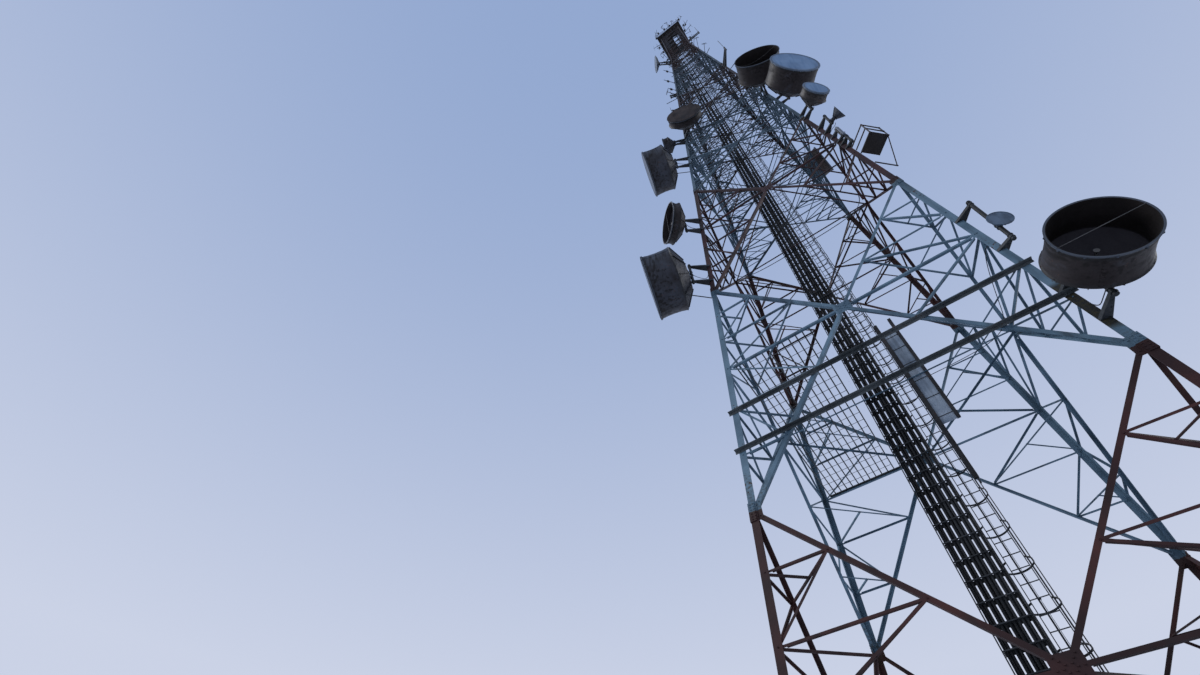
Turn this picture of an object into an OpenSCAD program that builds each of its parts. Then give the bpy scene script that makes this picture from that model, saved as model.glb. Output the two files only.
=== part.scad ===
// Telecom lattice tower, a scale model at 1:10.
// One millimetre here is one centimetre on the real tower.
// Four angle-steel legs lean in to a straight head. Flat braced panels close the four
// sides, and drums, dishes and frame antennas hang on pipes clamped to the legs.
// The origin is under the foot plate of the front left leg, +Z up, +Y to the back.

/* [Tower] */
// Width over the leg heels at the foot plates
base_w = 976; // [800:1:1200]
// Width over the leg heels in the straight head
head_w = 246; // [200:1:320]
// Height of the lower section, which has the tall panels
lower_h = 3420; // [2850:1:4100]
// Height of the middle section
middle_h = 2280; // [1900:1:2736]
// Height of the upper section, which ends where the taper stops
upper_h = 1900; // [1580:1:2280]
// Height of the straight head
head_h = 1260; // [1050:1:1512]

/* [Panels] */
// Number of panels in the lower section
lower_panels = 3; // [2:1:4]
// Number of panels in the middle section
middle_panels = 4; // [3:1:5]
// Number of panels in the upper section
upper_panels = 5; // [4:1:6]
// Number of panels in the head
head_panels = 6; // [4:1:7]

/* [Legs] */
// Width of a leg flange, from the lower section up to the head
leg_b = [20, 16, 13, 10]; // [8:1:24]
// Thickness of a leg flange, from the lower section up to the head
leg_t = [2, 1.6, 1.2, 1]; // [0.8:0.1:2.4]
// Height of a splice on a leg
splice_h = 60; // [40:1:80]

/* [Bracing] */
// Width of a diagonal angle, from the lower section up to the head
diagonal_b = [11, 9, 7, 5]; // [4:1:13]
// Width of a secondary angle, from the lower section up to the head
secondary_b = [6, 5, 4, 4]; // [3:1:8]
// Thickness of the bracing steel, from the lower section up to the head
brace_t = [1, 0.9, 0.8, 0.7]; // [0.6:0.1:1.2]
// Side of the gusset plate where two diagonals cross
gusset_w = [50, 30, 18, 14]; // [12:1:56]

/* [Feet] */
// Side of a foot plate
foot_w = 64; // [54:1:76]
// Thickness of a foot plate
foot_t = 4; // [3:0.5:6]
// Distance from the leg heel in to the middle of the foot plate
foot_inset = 12; // [8:1:16]
// Spacing of the anchor bolts, both ways
anchor_pitch = 48; // [40:1:54]
// Hole for an anchor bolt
anchor_hole = 4; // [3:0.5:5]

/* [Ladders] */
// Width of the cable ladder over its rails
cable_ladder_w = 100; // [80:1:120]
// Spacing of the cable ladder's rungs
cable_rung_pitch = 60; // [50:1:80]
// Number of feeder cables on the ladder
feeders = 10; // [4:1:12]
// Diameter of a feeder cable
feeder_d = 6; // [4:0.5:7]
// Width of the climbing ladder over its rails
climb_w = 44; // [36:1:52]
// Spacing of the climbing ladder's rungs
climb_pitch = 40; // [30:1:48]
// Inner diameter of the safety cage
cage_d = 72; // [60:1:87]
// Spacing of the cage hoops
hoop_pitch = 112; // [90:1:140]

/* [Drums] */
// Outer diameter of the low drum on the right
right_low_d = 185; // [154:1:222]
// Outer diameter of the open drum at the top right
right_top_d = 258; // [215:1:310]
// Outer diameter of the drum with the blue radome
right_blue_d = 268; // [223:1:322]
// Outer diameter of the small drum on the right
right_small_d = 130; // [108:1:156]
// Outer diameter of the two drums on the left
left_drum_d = 272; // [226:1:327]
// Outer diameter of the small drum on the left
left_small_d = 105; // [87:1:126]
// Outer diameter of the drum on the front, under the head
front_drum_d = 225; // [188:1:270]
// Outer diameter of the drum on the back leg
back_drum_d = 190; // [158:1:228]
// Outer diameter of the shallow dish on the left
left_dish_d = 194; // [161:1:233]
// Outer diameter of the small dish on the right
small_dish_d = 61; // [50:1:74]
// Outer diameter of the dish at the head
head_dish_d = 160; // [133:1:192]
// Outer diameter of the horn's mouth
horn_d = 64; // [53:1:77]
// Length of a drum's shroud as a share of its diameter
shroud_ratio = 0.56; // [0.46:0.01:0.68]
// The same share on the small drums
small_ratio = 0.48; // [0.4:0.01:0.58]
// The same share on the shallow ones
shallow_ratio = 0.33; // [0.27:0.01:0.4]
// Wall of a drum
drum_t = 2.4; // [2:0.2:4]
// Diameter of a mounting pipe
pipe_d = 11.4; // [9:0.1:14]

/* [Framed box] */
// How far the framed box stands out from the leg
box_reach = 84; // [70:1:101]
// Width of the framed box
box_w = 82; // [68:1:99]
// Height of the framed box
box_h = 105; // [87:1:126]

/* [Head] */
// How far the head platform stands out past the head
platform_over = 34; // [28:1:41]
// Height of the platform's railing
rail_h = 110; // [91:1:132]

/* [Hidden] */

taper_h = lower_h + middle_h + upper_h;
tower_h = taper_h + head_h;
section_z = [0, lower_h, lower_h + middle_h, taper_h, tower_h];
section_panels = [lower_panels, middle_panels, upper_panels, head_panels];
section_parts = [3, 2, 1, 1];

axis_xy = base_w / 2 - foot_inset;
slope = (base_w - head_w) / 2 / taper_h;
// lean of a side from upright, and lean of a leg
tilt = atan(slope);
lean = atan(sqrt(2) * slope);
// Clearance between pieces that are bolted together, and between sections
seat = 0.1;
eps = 0.3;
// How far a cover splice stands off its leg, in flange thicknesses
splice_lap = 0.98;
// Where an angle's standing flange stops short of a leg, in leg widths
rib_cut = 0.87;
// The same at a crossing, in gusset widths, and on a diagonal, in diagonal widths
gusset_cut = 0.55;
node_cut = 0.7;
// Width and height of a gusset on a leg, in leg widths
leg_gusset = [2.2, 3];
// How far a bar runs past its bolts, in bar widths
bar_over = 0.3;

red = [0.36, 0.16, 0.13];
white = [0.62, 0.70, 0.76];
steel = [0.42, 0.46, 0.50];

// Levels of the long angles across the front, and how far they pass the legs
mount_beam_z = [1365, 1530];
mount_beam_b = 11;
mount_beam_t = 1.4;
mount_beam_over = 10;

// A plan frame with less half width than this has ties across its corners only
diamond_least = 160;
// Where the angles of a plan frame stop short of the legs, in leg widths, how far from
// the corner a tie starts, in those lengths, and where a platform starts
plan_end = 1.6;
tie_end = 2.5;
platform_end = 1.5;

ladder_z = 40;
cable_rail_b = 8;
climb_rail_b = 5;
// Face of the cross angles that both ladders are bolted to
ladder_seat = -cable_rail_b / 2 - eps;
climb_y = -cable_rail_b / 2 + climb_rail_b / 2;
climb_x = 44;
// Free space between the two ladders
ladder_gap = 6;
cable_x = climb_x - climb_w / 2 - ladder_gap - cable_ladder_w / 2;
cable_top = tower_h - 260;
cable_rail_t = 3;
cable_rung_b = 3;
climb_rail_t = 2;
climb_rung_b = 2;
// How far the outer cables lie inside the ladder's rails, by which share of the
// ladder each is shorter than the one before it, and the order in which they leave
feeder_edge = 8;
feeder_step = 0.06;
feeder_order = 7;
climb_top = tower_h - 8;
// The cage starts this far above the ladder's foot
cage_start = 220;
hoop_h = 5;
hoop_t = 1.2;
strap_b = 4;
strap_t = 1.6;
// Where the upright straps stand round the cage
strap_angles = [-20, 35, 90, 145, 200];
platform_levels = [panel_crossing(0, 1), panel_crossing(1, 1)];
grating_pitch = 22;
grating_bar = 4;
grating_t = 2;

deck_t = 3;
rail_b = 4;
rail_t = 3;
// Depth of the platform's hatch as a share of the cage
hatch_ratio = 1.6;
rod_d = 4;
rod_foot_d = 14;
rod_foot_h = 4;
rod_inset = 12;
whip_h = 330;
// Rods on the head's corners: [side in X, side in Y, height]
corner_rods = [[-1, -1, 500], [1, -1, 260], [1, 1, 260], [-1, 1, 380]];
// Height between the two plates of a pipe that carries no drum
bare_span = 60;
guard_x = 80;
guard_z = 1520;
guard_w = 46;
guard_h = 490;
guard_t = 2;
guard_post = 4;
// How far the panel's posts pass it, at the foot of one and at the top of both
guard_foot = 240;
guard_tip = 70;

// A drum's reflector depth as a share of its radius, its hub, the plate that the cone
// ends in, the rolled lips and the feed
dish_ratio = 0.34;
drum_hub = 16;
drum_hub_r = 22;
drum_plate = 6;
cone_end = 0.48;
drum_lip = 3;
feed_d = 7;
waist_ratio = 0.03;
// A shallow dish's hub and depth as shares of its radius, and its lip
flat_hub = 0.4;
flat_depth = 0.3;
flat_lip = 2;
horn_neck_r = 9;
horn_neck_l = 16;
horn_l = 46;
panel_w = 14;
panel_t = 5;
panel_h = 100;
radome_t = 2;
radome_over = 2;
// Where the cone's big end lies, as a share of the reflector's depth
cone_share = 0.7;

// Where each antenna hangs: [leg corner, height, heading, reach, side shift, dip]
right_low = [315, 1309, -77, 66, 2, 7];
right_dish = [315, 1694, -68, 32, 13, 5];
right_rail = [315, 2802, -48, 24, 0, 0];
right_panel = [315, 2917, -48, 24, 0, 0];
right_horn = [315, 3060, -20, 38, -17, 0];
right_small = [315, 3418, -47, 49, 12, 9];
right_blue = [315, 3911, -51, 26, 37, 8];
right_top = [315, 4221, -75, 48, -14, 6];
right_whip = [315, 5560, -60, 115, 0, 0];
right_head = [315, 7700, 0, 130, 0, 0];
back_leg = [45, 4200, -11, -7, 35, 0];
left_low = [225, 2436, -163, 66, 25, 6];
left_dish = [225, 2955, -135, 69, -10, 3];
left_high = [225, 3958, -164, 73, 12, 6];
left_small = [225, 4400, -165, 66, 10, 0];
front_leg = [225, 4480, -75, 55, 40, 6];
left_spare = [225, 5230, -170, 45, 0, 0];
left_bare = [225, 5800, -165, 50, 0, 0];
head_dish = [225, 7300, -150, 120, 0, 4];

// The pipes that carry them: [placing, height between the plates, shift up from it]
right_pipes = [[right_low, 130, 0], [right_dish, 220, 45], [right_rail, bare_span, 0],
    [right_panel, 80, 0], [right_horn, 100, 40], [right_small, 80, 0], [right_blue, 120, 0],
    [right_top, 120, 0], [right_whip, bare_span, 0], [right_head, bare_span, 0],
    [back_leg, 100, 0]];
left_pipes = [[left_low, 130, 0], [left_dish, 120, 0], [left_high, 130, 0],
    [left_small, 60, 0], [front_leg, 120, 25], [left_spare, 160, 0],
    [left_bare, bare_span, 0], [head_dish, 110, 0]];

// The framed box: the level of its foot, its bars and slab, and the lower arm
box_z = 2647;
box_bar = 4;
box_slab = 9;
box_drop = 147;
box_arm = 94;

// The plates that hold a pipe, how far the pipe passes them, and the struts and stubs
arm_b = 7;
arm_h = 10;
pipe_over = 14;
strut_d = 4;
strut_drop = 55;
strut_seat = 0.7;
stub_d = 5;
// Bare stubs on the legs: [leg corner, height, heading, length]
stubs_left = [[225, 4850, -172, 80], [225, 5650, -170, 95]];
stubs_right = [[315, 5330, -20, 60], [315, 6450, -30, 50]];

function panel_crossing(i, k) =
    let (rise = (section_z[i + 1] - section_z[i]) / section_panels[i],
        z0 = section_z[i] + k * rise)
    cross_z(i, z0, z0 + rise);

function leg_part(z) = z < section_z[1] ? 0 : z < section_z[2] ? 1 : z < taper_h ? 2 : 3;
function half_w(z) = z < taper_h ? base_w / 2 - slope * z : head_w / 2;
function mix(p, q, f) = p + (q - p) * f;

// A leg's section, seen along the leg, with its heel at the origin and the tower to
// the left. The flanges lie in the planes of the two sides that meet there.
module leg_profile(b, t, side_tilt, leg_lean) {
    nx = cos(45) * cos(side_tilt) * cos(leg_lean) + sin(side_tilt) * sin(leg_lean);
    ny = sin(45) * cos(side_tilt);
    polygon([
        [0, 0],
        [-b * ny, b * nx],
        [-b * ny - t * nx, b * nx - t * ny],
        [-t / nx, 0],
        [-b * ny - t * nx, -b * nx + t * ny],
        [-b * ny, -b * nx]
    ]);
}

// The part of a leg between two levels, cut level at both ends
module leg_length(z0, z1, b, t, side_tilt, leg_lean, out = 0) {
    extra = 4 * b;
    intersection() {
        translate([sqrt(2) * half_w(z0) + out, 0, z0])
            rotate([0, -leg_lean, 0])
            translate([0, 0, -extra])
            linear_extrude(z1 - z0 + 2 * extra)
            leg_profile(b, t, side_tilt, leg_lean);
        translate([0, -base_w / 2, z0])
            cube([base_w, base_w, z1 - z0]);
    }
}

// The leaning part of the leg that lies on +X, with a cover splice on each joint
module leaning_leg() {
    for (i = [0:2])
        leg_length(i == 0 ? foot_t : section_z[i], section_z[i + 1], leg_b[i], leg_t[i],
            tilt, lean);
    for (k = [1:lower_panels - 1]) {
        z = lower_h * k / lower_panels;
        leg_length(z - splice_h / 2, z + splice_h / 2, leg_b[0] - 2, leg_t[0], tilt, lean,
            leg_t[0] * splice_lap * sqrt(2));
    }
}

// The upright part in the head, which stands on the leaning part
module head_leg() leg_length(taper_h + seat, tower_h, leg_b[3], leg_t[3], 0, 0);

// The foot plate with its four anchor holes
module foot_on_x() {
    difference() {
        translate([sqrt(2) * (base_w / 2 - foot_inset), 0, 0])
            rotate([0, 0, 45])
            translate([-foot_w / 2, -foot_w / 2, 0])
            cube([foot_w, foot_w, foot_t]);
        for (a = [0:3])
            translate([sqrt(2) * (base_w / 2 - foot_inset), 0, 0])
                rotate([0, 0, a * 90])
                translate([anchor_pitch / sqrt(2), 0, -1])
                cylinder(d = anchor_hole, h = foot_t + 2, $fn = 32);
    }
}

module leg(corner) {
    color(red)
        translate([axis_xy, axis_xy, 0])
        rotate([0, 0, corner])
        union() {
            leaning_leg();
            foot_on_x();
            head_leg();
        }
}

module leg_back_right() leg(45);
module leg_back_left() leg(135);
module leg_front_left() leg(225);
module leg_front_right() leg(315);

// A flat bar between two points of a side
module bar(p, q, b) {
    v = q - p;
    translate(p)
        rotate(atan2(v.y, v.x))
        translate([-bar_over * b, -b / 2])
        square([norm(v) + 2 * bar_over * b, b]);
}

// The edge of that bar that stands up as the angle's other flange
module rib(p, q, b, t, cut_p, cut_q) {
    v = q - p;
    translate(p)
        rotate(atan2(v.y, v.x))
        translate([cut_p, -b / 2])
        square([norm(v) - cut_p - cut_q, t]);
}

// Points of a side: on the middle of a leg flange at a level, and the crossing of
// the two diagonals of a panel
function leg_point(i, s, z) =
    [s * (half_w(z) - leg_b[i] / 2), i < 3 ? z / cos(tilt) : z];
function cross_z(i, z0, z1) =
    let (w0 = half_w(z0) - leg_b[i] / 2, w1 = half_w(z1) - leg_b[i] / 2)
    z0 + (z1 - z0) * w0 / (w0 + w1);
function cross_point(i, z0, z1) = let (z = cross_z(i, z0, z1)) [0, leg_point(i, 1, z).y];

// Every bar of one panel, as [from, to, width, cut at from, cut at to]
function panel_bars(i, z0, z1) =
    let (zc = cross_z(i, z0, z1), c = cross_point(i, z0, z1), n = section_parts[i],
        d = diagonal_b[i], s = secondary_b[i], g = gusset_w[i] * gusset_cut, e = leg_b[i] * rib_cut)
    [
        for (side = [-1, 1], end = [z0, z1]) [leg_point(i, side, end), c, d, e, g],
        [leg_point(i, -1, zc), c, s + 2, e, g],
        [c, leg_point(i, 1, zc), s + 2, g, e],
        for (side = [-1, 1], end = [z0, z1], k = [1:1:n - 1])
            let (a = leg_point(i, side, end), m = leg_point(i, side, zc))
            [mix(a, m, k / n), mix(a, c, k / n), s, e, d * node_cut],
        for (side = [-1, 1], end = [z0, z1], k = [1:1:n - 1])
            let (a = leg_point(i, side, end), m = leg_point(i, side, zc))
            [mix(a, c, k / n), mix(a, m, (k + 1) / n), s, d * node_cut, e]
    ];

module section_outline(i) {
    edge = leg_t[i] + brace_t[i] + 1;
    z0 = section_z[i] + (i == 0 ? 16 : eps / 2);
    z1 = section_z[i + 1] - eps / 2;
    y0 = leg_point(i, 1, z0).y;
    y1 = leg_point(i, 1, z1).y;
    polygon([
        [-half_w(z0) + edge, y0],
        [half_w(z0) - edge, y0],
        [half_w(z1) - edge, y1],
        [-half_w(z1) + edge, y1]
    ]);
}

// The flat braced side of one section, in its own plane
module braced_side(i) {
    n = section_panels[i];
    rise = (section_z[i + 1] - section_z[i]) / n;
    levels = [for (k = [0:n - 1]) section_z[i] + k * rise];
    bars = [for (z = levels) each panel_bars(i, z, z + rise)];
    t = brace_t[i];
    translate([0, 0, -leg_t[i] - seat - t])
        linear_extrude(t)
        intersection() {
            union() {
                for (b = bars) bar(b[0], b[1], b[2]);
                for (z = levels) {
                    c = cross_point(i, z, z + rise);
                    translate(c)
                        square(gusset_w[i], center = true);
                    for (s = [-1, 1], end = [z, z + rise])
                        translate(leg_point(i, s, end))
                            square(leg_b[i] * leg_gusset, center = true);
                }
            }
            section_outline(i);
        }
    for (b = bars)
        translate([0, 0, -leg_t[i] - seat - b[2]])
            linear_extrude(b[2] - t / 2)
            rib(b[0], b[1], b[2], t, b[3], b[4]);
}

module side_at(i, turn) {
    color(i == 1 ? white : red)
        translate([axis_xy, axis_xy, 0])
        rotate([0, 0, turn])
        translate([0, i < 3 ? -base_w / 2 : -head_w / 2, 0])
        rotate([i < 3 ? 90 - tilt : 90, 0, 0])
        union() braced_side(i);
}

module bracing_lower_front() side_at(0, 0);
module bracing_lower_right() side_at(0, 90);
module bracing_lower_back() side_at(0, 180);
module bracing_lower_left() side_at(0, 270);
module bracing_middle_front() side_at(1, 0);
module bracing_middle_right() side_at(1, 90);
module bracing_middle_back() side_at(1, 180);
module bracing_middle_left() side_at(1, 270);
module bracing_upper_front() side_at(2, 0);
module bracing_upper_right() side_at(2, 90);
module bracing_upper_back() side_at(2, 180);
module bracing_upper_left() side_at(2, 270);
module head_frame() for (turn = [0:90:270]) side_at(3, turn);

// A level angle from p to q. Its flat flange lies on z = 0 and the other one stands up
// along the right-hand edge.
module level_angle(p, q, b, t, stand) {
    v = q - p;
    translate([p.x, p.y, 0])
        rotate([0, 0, atan2(v.y, v.x)])
        rotate([90, 0, 90])
        linear_extrude(norm(v))
        polygon([
            [-b / 2, 0],
            [b / 2, 0],
            [b / 2, t],
            [-b / 2 + t, t],
            [-b / 2 + t, stand],
            [-b / 2, stand]
        ]);
}

// Height of the flange of a horizontal that lies in a side
function horizontal_b(i) = secondary_b[i] + 2;
function plan_half(i, z) = half_w(z) - leg_t[i] - brace_t[i] - 0.5;

// A level frame inside the four sides: an angle along each side, ties under or between
// them, and the cross angle that both ladders are bolted to
module plan_frame(i, z) {
    t = brace_t[i];
    s = secondary_b[i];
    h = plan_half(i, z);
    corner = leg_b[i] * plan_end;
    tie_from = tie_end * corner;
    tie_in = t + eps + s / 2;
    miter = (s / 2 + seat) / sqrt(2);
    stand = horizontal_b(i) - t - eps;
    translate([0, 0, z - horizontal_b(i) / 2 + t + eps]) {
        for (a = [0:90:270])
            rotate(a) {
                level_angle([-h + corner, -h + s / 2], [h - corner, -h + s / 2], s, t, stand);
                if (h > diamond_least)
                    translate([0, 0, -seat])
                        mirror([0, 0, 1])
                        level_angle([miter, -h + s / 2 + miter], [h - s / 2 - miter, -miter],
                            s, t, s);
                else
                    translate([0, 0, t + seat])
                        level_angle([h - tie_from, -h + tie_in], [h - tie_in, -h + tie_from],
                            s, t, stand - t - seat);
            }
        translate([0, 0, t + seat])
            level_angle([h - t - eps, ladder_seat - s / 2], [-h + t + eps, ladder_seat - s / 2],
                s, t, stand - t - seat);
    }
}

module plan_bracing() {
    color(steel)
        translate([axis_xy, axis_xy, 0])
        for (i = [0:3]) {
            n = section_panels[i];
            rise = (section_z[i + 1] - section_z[i]) / n;
            for (k = [0:i < 3 ? 1 : 2:n - 1]) {
                z0 = section_z[i] + k * rise;
                plan_frame(i, cross_z(i, z0, z0 + rise));
            }
        }
}

// The two long angles bolted across the outer face of the front legs
module mount_beams() {
    color(steel)
        translate([axis_xy, axis_xy, 0])
        for (z = mount_beam_z) {
            w = half_w(z) + mount_beam_over;
            y = -half_w(z - mount_beam_b) - eps;
            translate([-w, y - mount_beam_t, z - mount_beam_b])
                cube([2 * w, mount_beam_t, mount_beam_b]);
            translate([-w, y - mount_beam_b, z - mount_beam_t])
                cube([2 * w, mount_beam_b, mount_beam_t]);
        }
}

// A ladder lying in a plane of its own, with its foot at the origin
module ladder(w, h, rail_b, rail_t, rung_b, pitch) {
    rotate([90, 0, 0])
        union() {
            for (s = [-1, 1])
                translate([s * (w - rail_t) / 2 - rail_t / 2, 0, -rail_b / 2])
                    cube([rail_t, h, rail_b]);
            translate([0, 0, -rung_b / 2])
                linear_extrude(rung_b)
                for (y = [pitch / 2:pitch:h - rung_b])
                    translate([-w / 2 + rail_t / 2, y])
                        square([w - rail_t, rung_b]);
        }
}

module cable_ladder() {
    color(steel)
        translate([axis_xy + cable_x, axis_xy, ladder_z])
        ladder(cable_ladder_w, cable_top - ladder_z, cable_rail_b, cable_rail_t, cable_rung_b,
            cable_rung_pitch);
}

// The cables lie on the rungs and leave the ladder one after the other near its top
module feeder_cables() {
    step = (cable_ladder_w - 2 * feeder_edge) / (feeders - 1);
    h = cable_top - ladder_z;
    color([0.10, 0.10, 0.11])
        for (k = [0:feeders - 1])
            translate([axis_xy + cable_x - cable_ladder_w / 2 + feeder_edge + k * step,
                axis_xy + cable_rung_b / 2 + eps + feeder_d / 2, ladder_z])
                cylinder(d = feeder_d, h = h * (1 - feeder_step * (k * feeder_order % feeders)),
                    $fn = 24);
}

module climbing_ladder() {
    color(steel)
        translate([axis_xy + climb_x, axis_xy + climb_y, ladder_z])
        ladder(climb_w, climb_top - ladder_z, climb_rail_b, climb_rail_t, climb_rung_b,
            climb_pitch);
}

// Hoops round the climber, in four bolted lengths, and five upright straps. A length is
// [strap, from, to]: it is joined to its own strap and butts against the next one.
module safety_cage() {
    r = cage_d / 2;
    y = sqrt(r * r - climb_w * climb_w / 4);
    tip = -asin(y / r);
    butt = atan((strap_b / 2 + seat) / r);
    z0 = ladder_z + cage_start;
    a = strap_angles;
    lengths = [[a[0], tip, a[1] - butt], [a[1], a[1], a[2] - butt], [a[3], a[2] + butt, a[3]],
        [a[4], a[3] + butt, 180 - tip]];
    color(steel)
        translate([axis_xy + climb_x, axis_xy + climb_y + climb_rail_b / 2 + eps + y, 0]) {
            for (l = lengths)
                union() {
                    for (z = [z0:hoop_pitch:climb_top - 2 * hoop_h])
                        translate([0, 0, z])
                            rotate(l[1])
                            rotate_extrude(angle = l[2] - l[1], $fn = 96)
                            translate([r, 0])
                            square([hoop_t, hoop_h]);
                    cage_strap(l[0], r, z0);
                }
            cage_strap(a[2], r, z0);
        }
}

module cage_strap(a, r, z0)
    rotate(a)
    translate([r - strap_t / 2, -strap_b / 2, z0 + hoop_h / 3])
    cube([strap_t, strap_b, climb_top - z0 - hoop_h / 3]);

// A grating that rests on the standing flanges of a plan frame
module platform_at(i, z) {
    h = plan_half(i, z);
    x0 = -h + leg_b[i] * platform_end;
    x1 = cable_x - cable_ladder_w / 2 - cable_rail_b;
    y1 = h - leg_b[i] / 2;
    n = floor((x1 - x0) / grating_pitch);
    step = (x1 - x0) / n;
    color(steel)
        translate([axis_xy, axis_xy, z + horizontal_b(i) / 2 + seat])
        linear_extrude(grating_t)
        difference() {
            translate([x0, -h])
                square([x1 - x0, 2 * h]);
            for (k = [0:n - 1])
                translate([x0 + k * step + grating_bar, -y1])
                    square([step - grating_bar, 2 * y1]);
        }
}

module inner_platforms() for (i = [0, 1]) platform_at(i, platform_levels[i]);

// A plate with a hatch for the climber, eight posts and two rails round its edge
module head_platform() {
    w = head_w / 2 + platform_over;
    edge = w - rail_b / 2;
    color(steel)
        translate([axis_xy, axis_xy, tower_h + eps])
        union() {
            difference() {
                translate([-w, -w, 0])
                    cube([2 * w, 2 * w, deck_t]);
                translate([climb_x - cage_d / 2, -cage_d / 2, -1])
                    cube([cage_d, cage_d * hatch_ratio, deck_t + 2]);
            }
            for (sx = [-1, 0, 1], sy = [-1, 0, 1])
                if (sx != 0 || sy != 0)
                    translate([sx * edge - rail_b / 2, sy * edge - rail_b / 2, deck_t / 2])
                        cube([rail_b, rail_b, rail_h]);
            for (z = [rail_h / 2, rail_h - deck_t / 2])
                translate([0, 0, z])
                    difference() {
                        translate([-w, -w, 0])
                            cube([2 * w, 2 * w, rail_t]);
                        translate([-w + rail_t, -w + rail_t, -1])
                            cube([2 * (w - rail_t), 2 * (w - rail_t), rail_t + 2]);
                    }
        }
}

// A thin rod with a round foot
module rod_on(x, y, z, h) {
    translate([x, y, z]) {
        cylinder(d = rod_d, h = h, $fn = 24);
        cylinder(d = rod_foot_d, h = rod_foot_h, $fn = 24);
    }
}

// Rods that stand on the head's corners, and whip aerials on two of the side pipes
module head_rods() {
    w = head_w / 2 + platform_over - rod_inset;
    color(steel)
        translate([axis_xy, axis_xy, 0]) {
            for (q = corner_rods)
                rod_on(q.x * w, q.y * w, tower_h + deck_t + 2 * eps, q.z);
            for (q = [right_whip, right_head]) {
                p = pipe_at(q);
                rod_on(p.x, p.y, q[1] + bare_span / 2 + pipe_over + eps, whip_h);
            }
        }
}

// A sheet panel between two posts
module guard_panel() {
    color(white)
        translate([axis_xy + guard_x, axis_xy - guard_post, guard_z])
        union() {
            translate([0, (guard_post - guard_t) / 2, 0])
                cube([guard_w, guard_t, guard_h]);
            for (left = [true, false])
                translate([left ? -guard_post : guard_w, 0, left ? -guard_foot : 0])
                    cube([guard_post, guard_post,
                        guard_h + guard_tip + (left ? guard_foot : 0)]);
        }
}

// One drum: a waisted shroud with rolled lips, a dished reflector inside it, and behind
// that a cone that ends in the hub. The hub's back is at the origin and the mouth looks
// along +X.
module drum(d, l, open) {
    r = d / 2;
    dish = r * dish_ratio;
    back = drum_hub + dish * cone_share;
    front = drum_hub + l;
    rim = drum_hub + drum_t + dish;
    rotate([0, 90, 0])
        union() {
            rotate_extrude($fn = 72)
                polygon([
                    [0, 0],
                    [drum_hub_r, 0],
                    [drum_hub_r, drum_plate],
                    [r * cone_end, drum_plate],
                    [r, back],
                    [r + drum_lip, back + drum_lip / 2],
                    [r, back + drum_lip * 2],
                    for (f = [0.25:0.25:0.75]) [r - waist(r, f), mix(back, front, f)],
                    [r, front - drum_lip * 2],
                    [r + drum_lip, front],
                    [r - drum_t, front],
                    for (f = [0.75:-0.25:0.25])
                        if (mix(back, front, f) > rim + 1)
                            [r - drum_t - waist(r, f), mix(back, front, f)],
                    for (f = [0.96:-0.16:0]) [r * f, drum_hub + drum_t + dish * f * f]
                ]);
            if (open)
                translate([0, 0, drum_hub])
                    cylinder(d = feed_d, h = drum_t + dish / 2, $fn = 32);
        }
}

function waist(r, f) = r * waist_ratio * sin(180 * f);

module radome(d, l) {
    rotate([0, 90, 0])
        translate([0, 0, drum_hub + l + eps])
        cylinder(d = d + 2 * radome_over, h = radome_t, $fn = 72);
}

// A drum whose shroud has a share of its diameter, and the cover on its mouth
module drum_at(q, d, ratio, open = false) on_pipe(q) drum(d, d * ratio, open);
module radome_at(q, d, ratio) on_pipe(q) radome(d, d * ratio);

// Places its children on a pipe beside a leg, with +X along the heading and dipped.
// q = [corner, height, heading, reach, side, dip]
function corner_x(c) = c == 315 || c == 45 ? 1 : -1;
function corner_y(c) = c == 45 || c == 135 ? 1 : -1;
function heel(q) = [corner_x(q[0]) * half_w(q[1]), corner_y(q[0]) * half_w(q[1])];
function pipe_at(q) = heel(q) + q[3] * [cos(q[2]), sin(q[2])] + q[4] * [-sin(q[2]), cos(q[2])];

module on_pipe(q, hub_r = drum_hub_r) {
    p = pipe_at(q);
    translate([axis_xy + p.x, axis_xy + p.y, q[1]])
        rotate([0, 0, q[2]])
        translate([pipe_d / 2 + eps + hub_r * sin(q[5]), 0, 0])
        rotate([0, q[5], 0])
        children();
}

// A round bar between two points
module rod(p, q, d) {
    v = q - p;
    translate(p)
        rotate([0, acos(v.z / norm(v)), atan2(v.y, v.x)])
        cylinder(d = d, h = norm(v), $fn = 24);
}

// A level plate that wraps a leg's corner and narrows to the point p
module outrigger(q, p, z) {
    cx = corner_x(q[0]);
    cy = corner_y(q[0]);
    w = half_w(z) + eps;
    b = leg_b[leg_part(z)];
    corner = [cx * w, cy * w];
    out = p - corner;
    g = [-out.y, out.x] / norm(out) * (cx * cy < 0 ? 1 : -1) * arm_b / 2;
    translate([0, 0, z])
        linear_extrude(arm_h)
        polygon([
            if (out.y * cy > arm_b) [cx * (w - b), cy * w],
            corner,
            if (out.x * cx > arm_b) [cx * w, cy * (w - b)],
            p + g,
            p - g
        ]);
}

// The pipe and the two plates that hold it off the leg, shifted up from the antenna
module pipe_mount(q, span, up) {
    p = pipe_at(q);
    z = q[1] + up;
    union() {
        translate([p.x, p.y, z - span / 2 - pipe_over])
            cylinder(d = pipe_d, h = span + 2 * pipe_over, $fn = 32);
        for (s = [-1, 1])
            outrigger(q, p, z + s * span / 2 - arm_h / 2);
    }
}

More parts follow.
